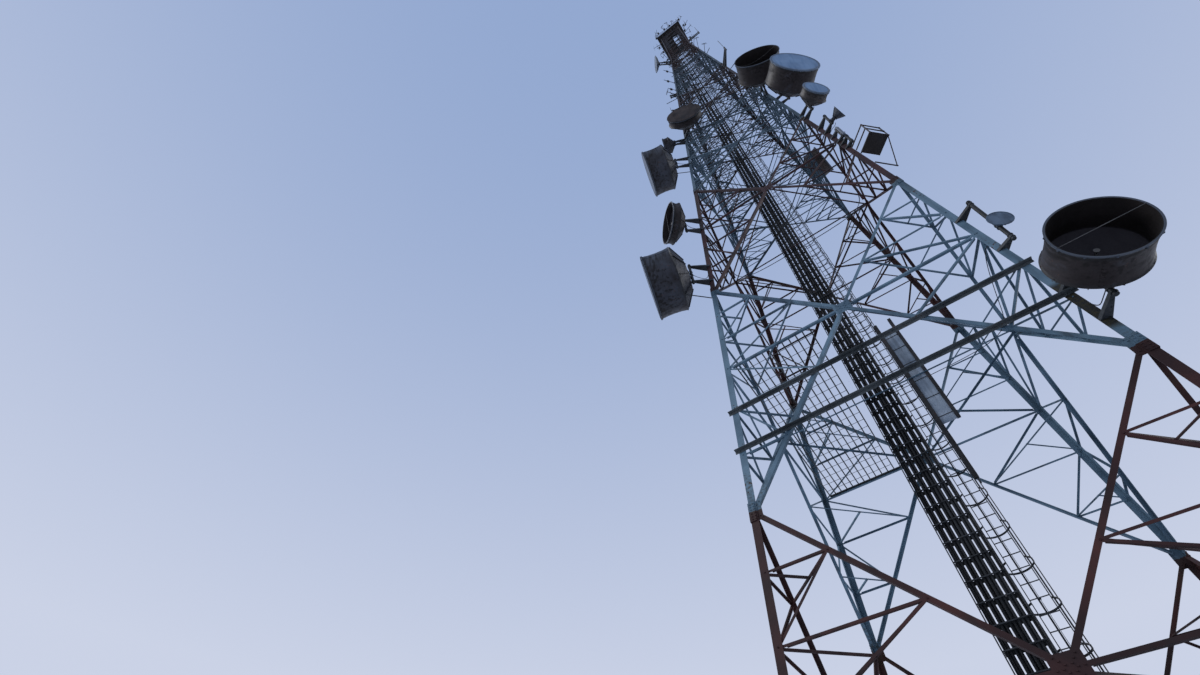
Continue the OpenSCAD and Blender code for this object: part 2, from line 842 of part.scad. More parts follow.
// A strut from under a drum's rear lip back to the leg
module drum_strut(q, d) {
    r = d / 2 + drum_lip + strut_d / 2 + eps;
    back = drum_hub + d / 2 * dish_ratio * cone_share + drum_lip / 2;
    u = pipe_d / 2 + eps + drum_hub_r * sin(q[5]) + back * cos(q[5]) - r * sin(q[5]);
    p = pipe_at(q) + u * [cos(q[2]), sin(q[2])];
    z = q[1] - back * sin(q[5]) - r * cos(q[5]);
    w = half_w(z - strut_drop) + strut_seat;
    rod([p.x, p.y, z], [corner_x(q[0]) * w, corner_y(q[0]) * w, z - strut_drop], strut_d);
}

// A bare round stub on a leg. s = [corner, height, heading, length]
module stub(s) {
    w = half_w(s[1]);
    v = [cos(s[2]), sin(s[2]), 0];
    heel = [corner_x(s[0]) * w, corner_y(s[0]) * w, s[1]];
    rod(heel + v * 2 * eps, heel + v * s[3], stub_d);
}

module drum_right_low() color(steel) drum_at(right_low, right_low_d, shroud_ratio, true);
module drum_right_top() color(steel) drum_at(right_top, right_top_d, shroud_ratio, true);
module drum_right_blue() color(steel) drum_at(right_blue, right_blue_d, shroud_ratio);
module radome_right_blue() color(white) radome_at(right_blue, right_blue_d, shroud_ratio);
module drum_right_small() color(steel) drum_at(right_small, right_small_d, small_ratio);
module radome_right_small() color(white) radome_at(right_small, right_small_d, small_ratio);
module drum_left_low() color(steel) drum_at(left_low, left_drum_d, shroud_ratio);
module radome_left_low() color(steel) radome_at(left_low, left_drum_d, shroud_ratio);
module drum_left_high() color(steel) drum_at(left_high, left_drum_d, shroud_ratio);
module radome_left_high() color(steel) radome_at(left_high, left_drum_d, shroud_ratio);
module drum_back() color(steel) drum_at(back_leg, back_drum_d, shroud_ratio);
module radome_back() color(steel) radome_at(back_leg, back_drum_d, shroud_ratio);
module dish_left() color(steel) drum_at(left_dish, left_dish_d, shallow_ratio, true);

// These two share a node with their cover
module drum_left_small() {
    color(steel) {
        drum_at(left_small, left_small_d, small_ratio);
        radome_at(left_small, left_small_d, small_ratio);
    }
}

module drum_front() {
    color(steel) {
        drum_at(front_leg, front_drum_d, shallow_ratio);
        radome_at(front_leg, front_drum_d, shallow_ratio);
    }
}

// A shallow dish with a flat cover: a round plate at the pipe, a curved back and a rim
module flat_dish(d) {
    r = d / 2;
    hub_r = r * flat_hub;
    rim = drum_plate + r * flat_depth;
    rotate([0, 90, 0])
        rotate_extrude($fn = 72)
        polygon([
            [0, 0],
            [hub_r, 0],
            [hub_r, drum_plate],
            for (f = [0.2:0.2:1]) [mix(hub_r, r, f), mix(drum_plate, rim, f * f)],
            [r + flat_lip, rim],
            [r + flat_lip, rim + flat_lip],
            [0, rim + flat_lip]
        ]);
}

// A shallow dish on its pipe, shifted so that its hub clears the pipe
module flat_dish_at(q, d) on_pipe(q, d / 2 * flat_hub) flat_dish(d);

module dish_right_small() color(white) flat_dish_at(right_dish, small_dish_d);
module dish_head() color(white) flat_dish_at(head_dish, head_dish_d);

// A cone on a short neck, closed by a flat cover
module horn_right()
    color(steel)
    on_pipe(right_horn)
    rotate([0, 90, 0])
    rotate_extrude($fn = 48)
    polygon([
        [0, 0],
        [horn_neck_r, 0],
        [horn_neck_r, horn_neck_l],
        [horn_d / 2, horn_l],
        [horn_d / 2, horn_l + radome_t],
        [0, horn_l + radome_t]
    ]);

module panel_right()
    color(white)
    on_pipe(right_panel)
    translate([0, -panel_w / 2, -panel_h / 2])
    cube([panel_t, panel_w, panel_h]);

// A framed box at the corner of the front right leg: two posts, rails back to the leg, a
// slab at its foot, and a stay down to a lower arm
module box_antenna() {
    out = box_reach - box_bar;
    corner = half_w(box_z);
    color(steel)
        translate([axis_xy + corner, axis_xy - corner, box_z])
        rotate([0, 0, -45])
        union() {
            for (y = [0, box_w - box_bar])
                translate([out, y, 0])
                    cube([box_bar, box_bar, box_h]);
            for (z = [0, box_h / 2, box_h - box_bar]) {
                translate([out, 0, z])
                    cube([box_bar, box_w, box_bar]);
                translate([box_seat(z), 0, z])
                    cube([box_reach - box_seat(z), box_bar, box_bar]);
            }
            translate([box_bar, box_bar / 2, 0])
                cube([box_reach - 1.5 * box_bar, box_w - box_bar, box_slab]);
            translate([box_seat(-box_drop), 0, -box_drop])
                cube([box_bar, box_arm, box_bar]);
            rod([box_seat(-box_drop) + box_bar / 2, box_arm - box_bar, box_bar / 2 - box_drop],
                [out + box_bar / 2, box_w - box_bar, box_bar], box_bar);
        }
}

// Where the leg's corner lies at a height above the box's foot, with the clearance
function box_seat(z) = eps - sqrt(2) * slope * z;

module mounts_right() {
    color(steel)
        translate([axis_xy, axis_xy, 0]) {
            for (m = right_pipes)
                pipe_mount(m[0], m[1], m[2]);
            for (s = stubs_right)
                stub(s);
        }
}

module mounts_left() {
    color(steel)
        translate([axis_xy, axis_xy, 0]) {
            for (m = left_pipes)
                pipe_mount(m[0], m[1], m[2]);
            drum_strut(left_low, left_drum_d);
            drum_strut(left_high, left_drum_d);
            for (s = stubs_left)
                stub(s);
        }
}

leg_front_left();
leg_front_right();
leg_back_left();
leg_back_right();
bracing_lower_front();
bracing_lower_right();
bracing_lower_back();
bracing_lower_left();
bracing_middle_front();
bracing_middle_right();
bracing_middle_back();
bracing_middle_left();
bracing_upper_front();
bracing_upper_right();
bracing_upper_back();
bracing_upper_left();
head_frame();
plan_bracing();
mount_beams();
cable_ladder();
feeder_cables();
climbing_ladder();
safety_cage();
inner_platforms();
head_platform();
head_rods();
guard_panel();
drum_right_low();
drum_right_top();
drum_right_blue();
radome_right_blue();
drum_right_small();
radome_right_small();
drum_left_low();
radome_left_low();
drum_left_high();
radome_left_high();
drum_left_small();
drum_front();
drum_back();
radome_back();
dish_left();
dish_right_small();
dish_head();
box_antenna();
horn_right();
panel_right();
mounts_right();
mounts_left();
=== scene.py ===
import math
import random

import bmesh
import bpy
from mathutils import Matrix, Vector


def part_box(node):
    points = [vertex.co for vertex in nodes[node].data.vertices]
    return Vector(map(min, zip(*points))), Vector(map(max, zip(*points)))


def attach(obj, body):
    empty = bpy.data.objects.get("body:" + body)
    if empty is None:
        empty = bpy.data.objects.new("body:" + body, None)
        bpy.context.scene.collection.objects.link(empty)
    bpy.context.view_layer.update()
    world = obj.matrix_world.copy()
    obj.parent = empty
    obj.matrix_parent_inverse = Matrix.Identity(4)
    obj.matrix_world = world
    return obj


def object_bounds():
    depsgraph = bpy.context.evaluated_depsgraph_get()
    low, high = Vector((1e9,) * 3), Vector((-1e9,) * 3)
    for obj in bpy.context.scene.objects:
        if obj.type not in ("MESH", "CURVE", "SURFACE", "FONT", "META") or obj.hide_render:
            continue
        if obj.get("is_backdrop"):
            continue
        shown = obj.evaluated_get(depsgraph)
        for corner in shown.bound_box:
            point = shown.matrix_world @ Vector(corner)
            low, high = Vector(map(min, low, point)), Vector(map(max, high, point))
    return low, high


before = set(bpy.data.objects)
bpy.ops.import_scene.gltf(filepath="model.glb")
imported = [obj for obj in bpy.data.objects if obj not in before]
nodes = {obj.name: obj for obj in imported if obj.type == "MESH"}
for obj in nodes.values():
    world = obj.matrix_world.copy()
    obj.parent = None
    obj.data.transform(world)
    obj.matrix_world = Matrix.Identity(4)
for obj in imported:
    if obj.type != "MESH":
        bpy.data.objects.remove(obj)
cad_low, cad_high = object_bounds()

# View
# A wide lens close to the foot of the front side looks steeply up at the head. The floor
# is a pale level sheet, and the light is soft and even.
camera_at = Vector((0.4237, -1.1179, 0.160))
looks_along = Vector((-0.3688, 0.5112, 0.7763)).normalized()
frame_right = Vector((0.8064, 0.5914, -0.0063)).normalized()
frame_up = frame_right.cross(looks_along)
lens = 18
sensor = 36
frame_shift = 0.052
sees_to = 500
floor_radius = 150
floor_colour = (0.50, 0.53, 0.60, 1)
floor_roughness = 0.9
light_colour = (0.62, 0.68, 0.80, 1)
light_level = 0.85
low_backdrop = (0.70, 0.76, 0.93, 1)
high_backdrop = (0.34, 0.46, 0.74, 1)
backdrop_from = 0.40
backdrop_to = 1.0
lamps = {"key_light": (300, 48, 1.5), "fill_light": (120, 60, 0.7)}
lamp_spread = 30


class Shade:
    """One output of a shader node. Arithmetic on it, also with numbers, adds Math nodes."""

    def __init__(self, tree, socket=None):
        self.tree = tree
        self.socket = socket

    def node(self, kind, settings, sockets, output=0):
        made = self.tree.nodes.new("ShaderNode" + kind)
        for name, value in settings.items():
            setattr(made, name, value)
        for name, value in sockets.items():
            if isinstance(value, Shade):
                self.tree.links.new(value.socket, made.inputs[name])
            else:
                made.inputs[name].default_value = value
        return Shade(self.tree, made.outputs[output])

    def maths(self, operation, *values):
        return self.node("Math", {"operation": operation}, dict(enumerate(values)))

    def __add__(self, other):
        return self.maths("ADD", self, other)

    def __radd__(self, other):
        return self.maths("ADD", other, self)

    def __sub__(self, other):
        return self.maths("SUBTRACT", self, other)

    def __rsub__(self, other):
        return self.maths("SUBTRACT", other, self)

    def __mul__(self, other):
        return self.maths("MULTIPLY", self, other)

    def __rmul__(self, other):
        return self.maths("MULTIPLY", other, self)

    def __truediv__(self, other):
        return self.maths("DIVIDE", self, other)

    def __rtruediv__(self, other):
        return self.maths("DIVIDE", other, self)

    def __gt__(self, other):
        return self.maths("GREATER_THAN", self, other)

    def __lt__(self, other):
        return self.maths("LESS_THAN", self, other)

    def __abs__(self):
        return self.maths("ABSOLUTE", self)


def part(place, axis):
    return place.node("SeparateXYZ", {}, {0: place}, axis)


def steps(value, low, high):
    """0 where the value is at low, 1 where it is at high, with a ramp between them"""
    return value.node("MapRange", {"clamp": True},
        {"Value": value, "From Min": low, "From Max": high})


def tone(mask, low, high):
    """A colour that goes from low to high with the mask"""
    return mask.node("Mix", {"data_type": "RGBA"}, {0: mask, 6: low, 7: high}, 2)


camera = bpy.data.objects.new("camera", bpy.data.cameras.new("camera"))
camera.data.lens = lens
camera.data.sensor_width = sensor
camera.data.shift_y = frame_shift
camera.data.clip_end = sees_to
facing = Matrix((frame_right, frame_up, -looks_along)).transposed()
camera.matrix_world = Matrix.Translation(camera_at) @ facing.to_4x4()
bpy.context.scene.collection.objects.link(camera)
bpy.context.scene.camera = camera
bpy.context.scene.view_settings.view_transform = "Standard"

floor_mesh = bpy.data.meshes.new("floor")
shape = bmesh.new()
bmesh.ops.create_circle(shape, cap_ends=True, segments=96, radius=floor_radius)
shape.to_mesh(floor_mesh)
shape.free()
floor = bpy.data.objects.new("floor", floor_mesh)
bpy.context.scene.collection.objects.link(floor)
floor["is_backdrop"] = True
floor_paint = bpy.data.materials.new("floor_paint")
floor_paint.use_nodes = True
floor_shader = floor_paint.node_tree.nodes["Principled BSDF"]
floor_shader.inputs["Base Color"].default_value = floor_colour
floor_shader.inputs["Roughness"].default_value = floor_roughness
floor.data.materials.append(floor_paint)

world = bpy.data.worlds.new("studio")
bpy.context.scene.world = world
world.use_nodes = True
sky = Shade(world.node_tree)
seen = sky.maths("MAXIMUM", sky.node("LightPath", {}, {}, "Is Camera Ray"),
    sky.node("LightPath", {}, {}, "Is Glossy Ray"))
rise = part(sky.node("TexCoord", {}, {}, "Generated"), 2)
backdrop = tone(steps(rise, backdrop_from, backdrop_to), low_backdrop, high_backdrop)
background = world.node_tree.nodes["Background"]
background.inputs["Strength"].default_value = light_level
world.node_tree.links.new(tone(seen, light_colour, backdrop).socket, background.inputs["Color"])
for name, (turn, tip, strength) in lamps.items():
    lamp = bpy.data.objects.new(name, bpy.data.lights.new(name, "SUN"))
    lamp.data.energy = strength
    lamp.data.angle = math.radians(lamp_spread)
    lamp.rotation_euler = (math.radians(tip), 0, math.radians(turn))
    bpy.context.scene.collection.objects.link(lamp)

# Legs
# Four legs of rolled angle, cut and butted where the sections meet, painted in red and
# white bands of one height. The paint is weathered: chalky, chipped and streaked with rust.
middle = (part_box("leg_front_left")[0].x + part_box("leg_back_right")[1].x) / 2
section_z = [0, 3.420, 5.700, 7.600, 8.860]
foot_half = 0.488
head_half = 0.123
lean = (foot_half - head_half) / section_z[3]
along_side = math.sqrt(1 + lean * lean)
flange = [0.020, 0.016, 0.013, 0.010]
flange_thick = [0.002, 0.0016, 0.0012, 0.001]
band_height = 1.140
corners = {"leg_front_left": (-1, -1), "leg_front_right": (1, -1), "leg_back_left": (-1, 1),
    "leg_back_right": (1, 1)}

# The band tones carry painted shade: the white paint is written dark steel-blue and the red paint a
# near-black maroon, as they look in shade.
shaded_white_dark = (0.046, 0.086, 0.128, 1)
shaded_white_pale = (0.120, 0.196, 0.268, 1)
shaded_red_dark = (0.022, 0.011, 0.012, 1)
shaded_red_pale = (0.062, 0.021, 0.020, 1)
# This colour serves for drips of dirt and also for the painted shade that darkens the tower higher
# up.
grime_and_shade = (0.016, 0.018, 0.020, 1)
rust = (0.060, 0.024, 0.014, 1)
olive = (0.036, 0.033, 0.020, 1)
painted_shade_from = 2.0
painted_shade_to = 5.0
ruddy = (0.030, 0.015, 0.014, 1)
ruddy_from = 6.4
ruddy_to = 8.4
stripped_at = 1.315


def new_finish(name):
    made = bpy.data.materials.new(name)
    made.use_nodes = True
    return made, Shade(made.node_tree).node("TexCoord", {}, {}, "Object")


def grain(place, scale, detail=4, stretch=(1, 1, 1)):
    """Soft noise from 0 to 1, drawn out along an axis whose stretch is small"""
    if stretch != (1, 1, 1):
        place = place.node("Mapping", {}, {"Vector": place, "Scale": stretch})
    return place.node("TexNoise", {}, {"Vector": place, "Scale": scale, "Detail": detail})


def lay_on(made, colour, roughness, relief, depth, shine=0.18):
    """Feeds a material's shader. relief is a height, and depth its size in metres."""
    shader = made.node_tree.nodes["Principled BSDF"]
    bump = relief.node("Bump", {}, {"Height": relief, "Distance": depth})
    made.node_tree.links.new(colour.socket, shader.inputs["Base Color"])
    made.node_tree.links.new(roughness.socket, shader.inputs["Roughness"])
    made.node_tree.links.new(bump.socket, shader.inputs["Normal"])
    shader.inputs["Specular IOR Level"].default_value = shine


def banded_paint(name, patchy, stripped=False):
    """The banded paint. patchy is how far it has rusted, and the higher up it is the darker, a
    painted shade.

    stripped is for a leg that has lost its paint beside a drum.
    """
    made, place = new_finish(name)
    height = part(place, 2)
    fine = grain(place, 140, 6)
    cloud = grain(place, 7, 5)
    drips = grain(place, 30, 4, (1, 1, 0.06))
    level = (height + (fine - 0.5) * 0.010) / (2 * band_height)
    upper = level.maths("FRACT", level) > 0.5
    # Painted shade: the white and red tones below are the shaded, darkened look of the paint.
    white = tone(steps(cloud, 0.35, 0.68), shaded_white_dark, shaded_white_pale)
    red = tone(steps(cloud, 0.38, 0.70), shaded_red_dark, shaded_red_pale)
    colour = tone(upper, red, white)
    share = height / band_height
    edge = abs(share.maths("FRACT", share) - 0.5)
    mossy = steps(edge + (cloud - 0.5) * 0.5, 0.44, 0.54) * steps(fine, 0.40, 0.60)
    colour = tone(mossy * 0.75, colour, olive)
    dirty = steps(drips, 0.52, 0.72)
    colour = tone(dirty * 0.6, colour, grime_and_shade)
    # Painted shade: the tower grows darker from painted_shade_from up to painted_shade_to.
    colour = tone(steps(height, painted_shade_from, painted_shade_to) * 0.66, colour, grime_and_shade)
    colour = tone(steps(height, ruddy_from, ruddy_to) * 0.65, colour, ruddy)
    if stripped:
        bare = steps(abs(height + (cloud - 0.5) * 0.08 - stripped_at), 0.115, 0.090)
        colour = tone(bare, colour, tone(steps(fine, 0.40, 0.60), grime_and_shade, olive))
    worn = steps(fine + (cloud - 0.5) * 0.6, 0.74 - patchy, 0.80 - patchy)
    colour = tone(worn, colour, rust)
    lay_on(made, colour, 0.58 + dirty * 0.2 + worn * 0.2, fine * 0.5 - worn * 0.6, 0.0006)
    return made


def wear(names, made):
    """Puts a finish on CAD nodes"""
    for name in names:
        nodes[name].data.materials.clear()
        nodes[name].data.materials.append(made)


leg_paint = banded_paint("leg_paint", 0.02)
wear(corners, leg_paint)
wear(["leg_front_right"], banded_paint("stripped_leg_paint", 0.02, True))

# Leg joints
# Where two lengths of a leg meet, a plate on each flange laps the joint and is bolted
# through. The lowest lengths are joined by heavier angles that the bolts go through too.
quarter = math.pi / 2
cover_tall = 0.052
cover_thick = 0.0016
cover_rows = (-0.021, -0.012, 0.012, 0.021)
splice_lap = 0.00196
splice_gauge = 0.0045
splice_rows = (-0.024, -0.015, -0.006, 0.006, 0.015, 0.024)
bolt_across = 0.0034
bolt_tall = 0.0015


def half_width(z):
    """From the tower's axis to the outer face of a side, at a height"""
    return foot_half - lean * z if z < section_z[3] else head_half


def shift(x, y, z):
    return Matrix.Translation((x, y, z))


def swing(angle, axis):
    return Matrix.Rotation(angle, 4, axis)


def side_plane(side, section=0):
    """From a side's own plane, with x across it, y up along it and z out of it"""
    upright = section == 3
    tilt = 0 if upright else math.atan(lean)
    return (shift(middle, middle, 0) @ swing(side * quarter, "Z")
        @ shift(0, -(head_half if upright else foot_half), 0) @ swing(quarter - tilt, "X"))


def keep(name, shape, finish):
    """Makes a piece of a finished bmesh, which stands still with the tower"""
    mesh = bpy.data.meshes.new(name)
    shape.to_mesh(mesh)
    shape.free()
    made = bpy.data.objects.new(name, mesh)
    bpy.context.scene.collection.objects.link(made)
    mesh.materials.append(finish)
    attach(made, "root")


def block(shape, place, size):
    """A bar or plate of a size, centred on a place"""
    bmesh.ops.create_cube(shape, size=1, matrix=place @ Matrix.Diagonal((*size, 1)))


def rod(shape, place, low_radius, high_radius, tall, sides=24):
    """A round bar or a cone, centred on a place and along its z"""
    bmesh.ops.create_cone(shape, cap_ends=True, segments=sides, radius1=low_radius,
        radius2=high_radius, depth=tall, matrix=place)


def bolt(shape, place, across, tall):
    """A hexagon head or nut that stands up from a place along its z"""
    corner = across / math.sqrt(3)
    rod(shape, place @ shift(0, 0, tall / 2), corner, corner, tall, 6)


def bolt_rows(shape, place, columns, rows, across=bolt_across, tall=bolt_tall):
    """A head wherever a column, at an x, and a row, at a y, of a place's plane cross"""
    for x in columns:
        for y in rows:
            bolt(shape, place @ shift(x, y, 0), across, tall)


shape = bmesh.new()
for side in range(4):
    plane = side_plane(side)
    for k, z in enumerate(section_z[1:3]):
        wide = flange[k + 1] - 0.001
        for s in (-1, 1):
            x = s * (half_width(z) - flange[k + 1] / 2)
            block(shape, plane @ shift(x, z * along_side, cover_thick / 2 + 0.0001),
                (wide, cover_tall, cover_thick))
            bolt_rows(shape, plane @ shift(x, z * along_side, cover_thick),
                (-wide / 4, wide / 4), cover_rows)
    for z in (section_z[1] / 3, section_z[1] * 2 / 3):
        for s in (-1, 1):
            x = s * (half_width(z) - flange[0] / 2 + 0.001)
            bolt_rows(shape, plane @ shift(x, z * along_side, splice_lap),
                (-splice_gauge, splice_gauge), splice_rows)
keep("leg_joints", shape, leg_paint)

# Feet
# Each foot plate is held by four anchor bolts that are cast into the footing, with a
# washer and two nuts on each. The steel there is bare and the rustiest on the tower.
plate_thick = 0.004
anchor_half = 0.024
anchor_radius = 0.0019
anchor_tall = 0.013
washer_radius = 0.0046
washer_thick = 0.0008
nut_across = 0.0062
nut_tall = 0.0030
lock_nut_at = 0.0039
lock_nut_tall = 0.0020


def weathered(name, shade, light, share):
    """Dull steel that clouds between two tones, with drips. share is how far it has rusted."""
    made, place = new_finish(name)
    cloud = grain(place, 10, 5)
    fine = grain(place, 150, 6)
    drips = steps(grain(place, 34, 4, (1, 1, 0.06)), 0.52, 0.72)
    colour = tone(steps(cloud + (fine - 0.5) * 0.4, 0.34, 0.68), shade, light)
    colour = tone(drips * 0.55, colour, grime_and_shade)
    worn = steps(fine + (cloud - 0.5) * 0.7, 0.74 - share, 0.82 - share)
    colour = tone(worn, colour, rust)
    lay_on(made, colour, 0.54 + drips * 0.2 + worn * 0.25, fine * 0.5 - worn * 0.5, 0.0005)
    return made


shape = bmesh.new()
for cx, cy in sorted(corners.values()):
    centre = Vector((middle + cx * middle, middle + cy * middle, plate_thick))
    for dx, dy in sorted(corners.values()):
        at = shift(*(centre + Vector((dx * anchor_half, dy * anchor_half, 0))))
        rod(shape, at @ shift(0, 0, washer_thick / 2), washer_radius, washer_radius, washer_thick,
            20)
        bolt(shape, at @ shift(0, 0, washer_thick), nut_across, nut_tall)
        bolt(shape, at @ shift(0, 0, lock_nut_at), nut_across, lock_nut_tall)
        rod(shape, at @ shift(0, 0, anchor_tall / 2), anchor_radius, anchor_radius * 0.8,
            anchor_tall, 16)
keep("anchor_bolts", shape, weathered("anchor_steel", (0.050, 0.040, 0.036, 1),
    (0.110, 0.090, 0.078, 1), 0.12))

# Braced sides
# Each side is flat: crossed diagonals, a horizontal through their crossing and short
# angles between them, all bolted to gusset plates behind the flanges of the legs.
panels = [3, 4, 5, 6]
splits = [3, 2, 1, 1]
steel_gap = 0.0001
gusset_thick = 0.001
joined_at = [section_z[1] / 3, section_z[1] * 2 / 3, section_z[1], section_z[2]]
joint_reach = 0.034
foot_plate_reach = 0.02
side_names = ["front", "right", "back", "left"]
side_paint = banded_paint("side_paint", 0.0)
wear(["bracing_" + level + "_" + side for level in ("lower", "middle", "upper")
    for side in side_names] + ["head_frame"], side_paint)


def side_panels():
    """Every panel of a side, from the foot up: its section, its bottom and its top"""
    for i, count in enumerate(panels):
        rise = (section_z[i + 1] - section_z[i]) / count
        for k in range(count):
            yield i, section_z[i] + k * rise, section_z[i] + k * rise + rise


def crossing(i, low, high):
    """The height at which a panel's diagonals cross"""
    w0 = half_width(low) - flange[i] / 2
    w1 = half_width(high) - flange[i] / 2
    return low + (high - low) * w0 / (w0 + w1)


def leg_point(i, s, z):
    """On the middle of a leg's flange, in the plane of a side"""
    return Vector((s * (half_width(z) - flange[i] / 2), z if i == 3 else z * along_side, 0))


def bar_ends(i, low, high):
    """Every bar of a panel: from, to, and the bolts at each end as (how many, first, pitch)"""
    big = flange[i] / flange[0]
    level = crossing(i, low, high)
    cross = Vector((0, leg_point(i, 1, level).y, 0))
    for s in (-1, 1):
        waist = leg_point(i, s, level)
        yield waist, cross, (2, 0, 0.007 * big), (2, 0.010 * big, 0.009 * big)
        for end in (low, high):
            foot = leg_point(i, s, end)
            yield foot, cross, (3, 0.014 * big, 0.009 * big), (3, 0.008 * big, 0.009 * big)
            for k in range(1, splits[i]):
                on_leg = foot.lerp(waist, k / splits[i])
                on_bar = foot.lerp(cross, k / splits[i])
                next_leg = foot.lerp(waist, (k + 1) / splits[i])
                yield on_leg, on_bar, (1, 0, 0.006), (1, 0.002, 0.006)
                yield on_bar, next_leg, (1, 0.002, 0.006), (1, 0, 0.006)


def pour(made, shape):
    """Adds a finished bmesh to a larger one. Many small solids are made a few at a time."""
    mesh = bpy.data.meshes.new("poured")
    made.to_mesh(mesh)
    made.free()
    shape.from_mesh(mesh)
    bpy.data.meshes.remove(mesh)


def panel_bolts(i, plane, low, high):
    """Heads outside and nuts inside, at both ends of every bar of one panel"""
    made = bmesh.new()
    across = bolt_across * (0.5 + 0.5 * flange[i] / flange[0])
    behind = -flange_thick[i] - steel_gap
    for start, end, here, there in bar_ends(i, low, high):
        along = (end - start).normalized()
        spots = [start + along * (here[1] + n * here[2]) for n in range(here[0])]
        spots += [end - along * (there[1] + n * there[2]) for n in range(there[0])]
        for spot in spots:
            z = spot.y / (1 if i == 3 else along_side)
            on_leg = abs(spot.x) > half_width(z) - flange[i]
            covered = any(abs(z - level) < joint_reach for level in joined_at)
            if z < foot_plate_reach or (on_leg and covered):
                continue
            bolt(made, plane @ shift(spot.x, spot.y, 0 if on_leg else behind), across, bolt_tall)
            bolt(made, plane @ shift(spot.x, spot.y, behind - gusset_thick) @ swing(math.pi, "X"),
                across, bolt_tall * 1.4)
    return made


for side, name in enumerate(side_names):
    shape = bmesh.new()
    for i, low, high in side_panels():
        pour(panel_bolts(i, side_plane(side, i), low, high), shape)
    keep("bolts_" + name, shape, side_paint)

# Finer bracing
# Thin angles that halve the bars of the panels above the lowest section, and ties across
# the corners inside the tower, from the bars of one side to those of the next. A short hip
# brace runs from the leg to the middle of each tie.
fine_wide = [0.0050, 0.0045, 0.0040, 0.0034]
fine_thick = 0.0008
fine_behind = 0.0030
halves = [3, 3, 3, 2]


def thin_angle(shape, start, end, wide, out):
    """An angle from one point to another, with one flange facing out and one behind it"""
    along = (end - start).normalized()
    face = (out - along * out.dot(along)).normalized()
    place = Matrix((along, face.cross(along), face)).transposed().to_4x4()
    place.translation = (start + end) / 2
    length = (end - start).length
    block(shape, place, (length, wide, fine_thick))
    block(shape, place @ shift(0, wide / 2 - fine_thick / 2, -wide / 2), (length, fine_thick, wide))


def halving_points(i, low, high, s):
    """Where thin angles and ties start in half a panel: on the leg, on the bar, next on the leg"""
    waist = leg_point(i, s, crossing(i, low, high))
    cross = Vector((0, waist.y, 0))
    for end in (low, high):
        foot = leg_point(i, s, end)
        for k in range(1, halves[i]):
            yield (foot.lerp(waist, k / halves[i]), foot.lerp(cross, k / halves[i]),
                foot.lerp(waist, (k + 1) / halves[i]))


down = Vector((0, 0, -1))
for side, name in enumerate(side_names):
    shape = bmesh.new()
    for i, low, high in side_panels():
        plane = side_plane(side, i)
        next_plane = side_plane(side + 1, i)
        inside = Vector((0, 0, -flange_thick[i] - fine_behind))
        out = (plane.to_3x3() @ Vector((0, 0, 1))).normalized()
        wide = fine_wide[i]
        made = bmesh.new()
        for s in (-1, 1):
            for on_leg, on_bar, next_leg in halving_points(i, low, high, s):
                here = plane @ (on_bar + inside)
                if i > 0:
                    thin_angle(made, plane @ (on_leg + inside), here, wide, out)
                    thin_angle(made, here, plane @ (next_leg + inside), wide, out)
                if s > 0:
                    there = next_plane @ (Vector((-on_bar.x, on_bar.y, 0)) + inside)
                    thin_angle(made, here, there, wide, down)
                    thin_angle(made, plane @ (on_leg + inside), (here + there) / 2, wide, down)
        pour(made, shape)
    keep("fine_bracing_" + name, shape, side_paint)

# Plan frames and the two long angles across the front
# Level frames of small angles hold the sides square and carry the ladders. They are in
# the colour of the band they lie in; the long angles outside were never painted.
beam_levels = [1.365, 1.530]
beam_tall = 0.011
beam_bolt_pitch = 0.11
wear(["plan_bracing"], banded_paint("plan_paint", 0.03))
bare_steel = weathered("bare_steel", (0.036, 0.044, 0.050, 1), (0.098, 0.112, 0.122, 1), 0.06)
wear(["mount_beams"], bare_steel)
shape = bmesh.new()
for z in beam_levels:
    half = half_width(z)
    y = middle - half_width(z - beam_tall) - 0.0017
    for s in (-1, 1):
        for dx in (0.004, 0.015):
            at = shift(middle + s * (half - dx), y, z - beam_tall * 0.6)
            bolt(shape, at @ swing(quarter, "X"), bolt_across, bolt_tall)
        block(shape, shift(middle + s * (half - 0.009), y - 0.0052, z - 0.0012),
            (0.022, 0.0100, 0.0012))
    for k in range(-3, 4):
        bolt(shape, shift(middle + k * beam_bolt_pitch, y - 0.005, z), 0.0026, 0.0011)
keep("beam_bolts", shape, bare_steel)

# Cable ladder
# A wide ladder of bare steel up the middle of the tower. Its cables lie two deep and have
# black jackets, dulled by dust. At every rung a clamp bar and saddles hold them.
cable_count = 10
cable_width = 0.006
rung_pitch = 0.060
rear_width = 0.0046
rear_cables = {0: 0.97, 2: 0.99, 4: 0.71, 5: 0.93, 7: 0.98}
clamp_size = (0.0014, 0.0120)
saddle_size = (0.0072, 0.0018, 0.0062)
ladder_steel = weathered("ladder_steel", (0.012, 0.014, 0.017, 1), (0.038, 0.044, 0.052, 1), 0.04)
wear(["cable_ladder"], ladder_steel)
jacket, place = new_finish("cable_jacket")
dusty = steps(grain(place, 22, 5, (1, 1, 0.15)), 0.42, 0.66)
ridges = place.node("TexWave", {"wave_type": "BANDS", "bands_direction": "Z"},
    {"Vector": place, "Scale": 55, "Distortion": 0.4}, 1)
lay_on(jacket, tone(dusty, (0.010, 0.011, 0.013, 1), (0.036, 0.039, 0.044, 1)),
    0.62 + dusty * 0.3, ridges, 0.0005, 0.10)
wear(["feeder_cables"], jacket)

ladder_low, ladder_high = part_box("cable_ladder")
cable_low, cable_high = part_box("feeder_cables")
cable_pitch = (cable_high.x - cable_low.x - cable_width) / (cable_count - 1)
cable_x = [cable_low.x + cable_width / 2 + k * cable_pitch for k in range(cable_count)]
cable_run = cable_high.z - cable_low.z
cable_top = [cable_low.z + cable_run * (1 - 0.06 * (k * 7 % cable_count))
    for k in range(cable_count)]
rear_y = cable_high.y + rear_width / 2 + 0.0012


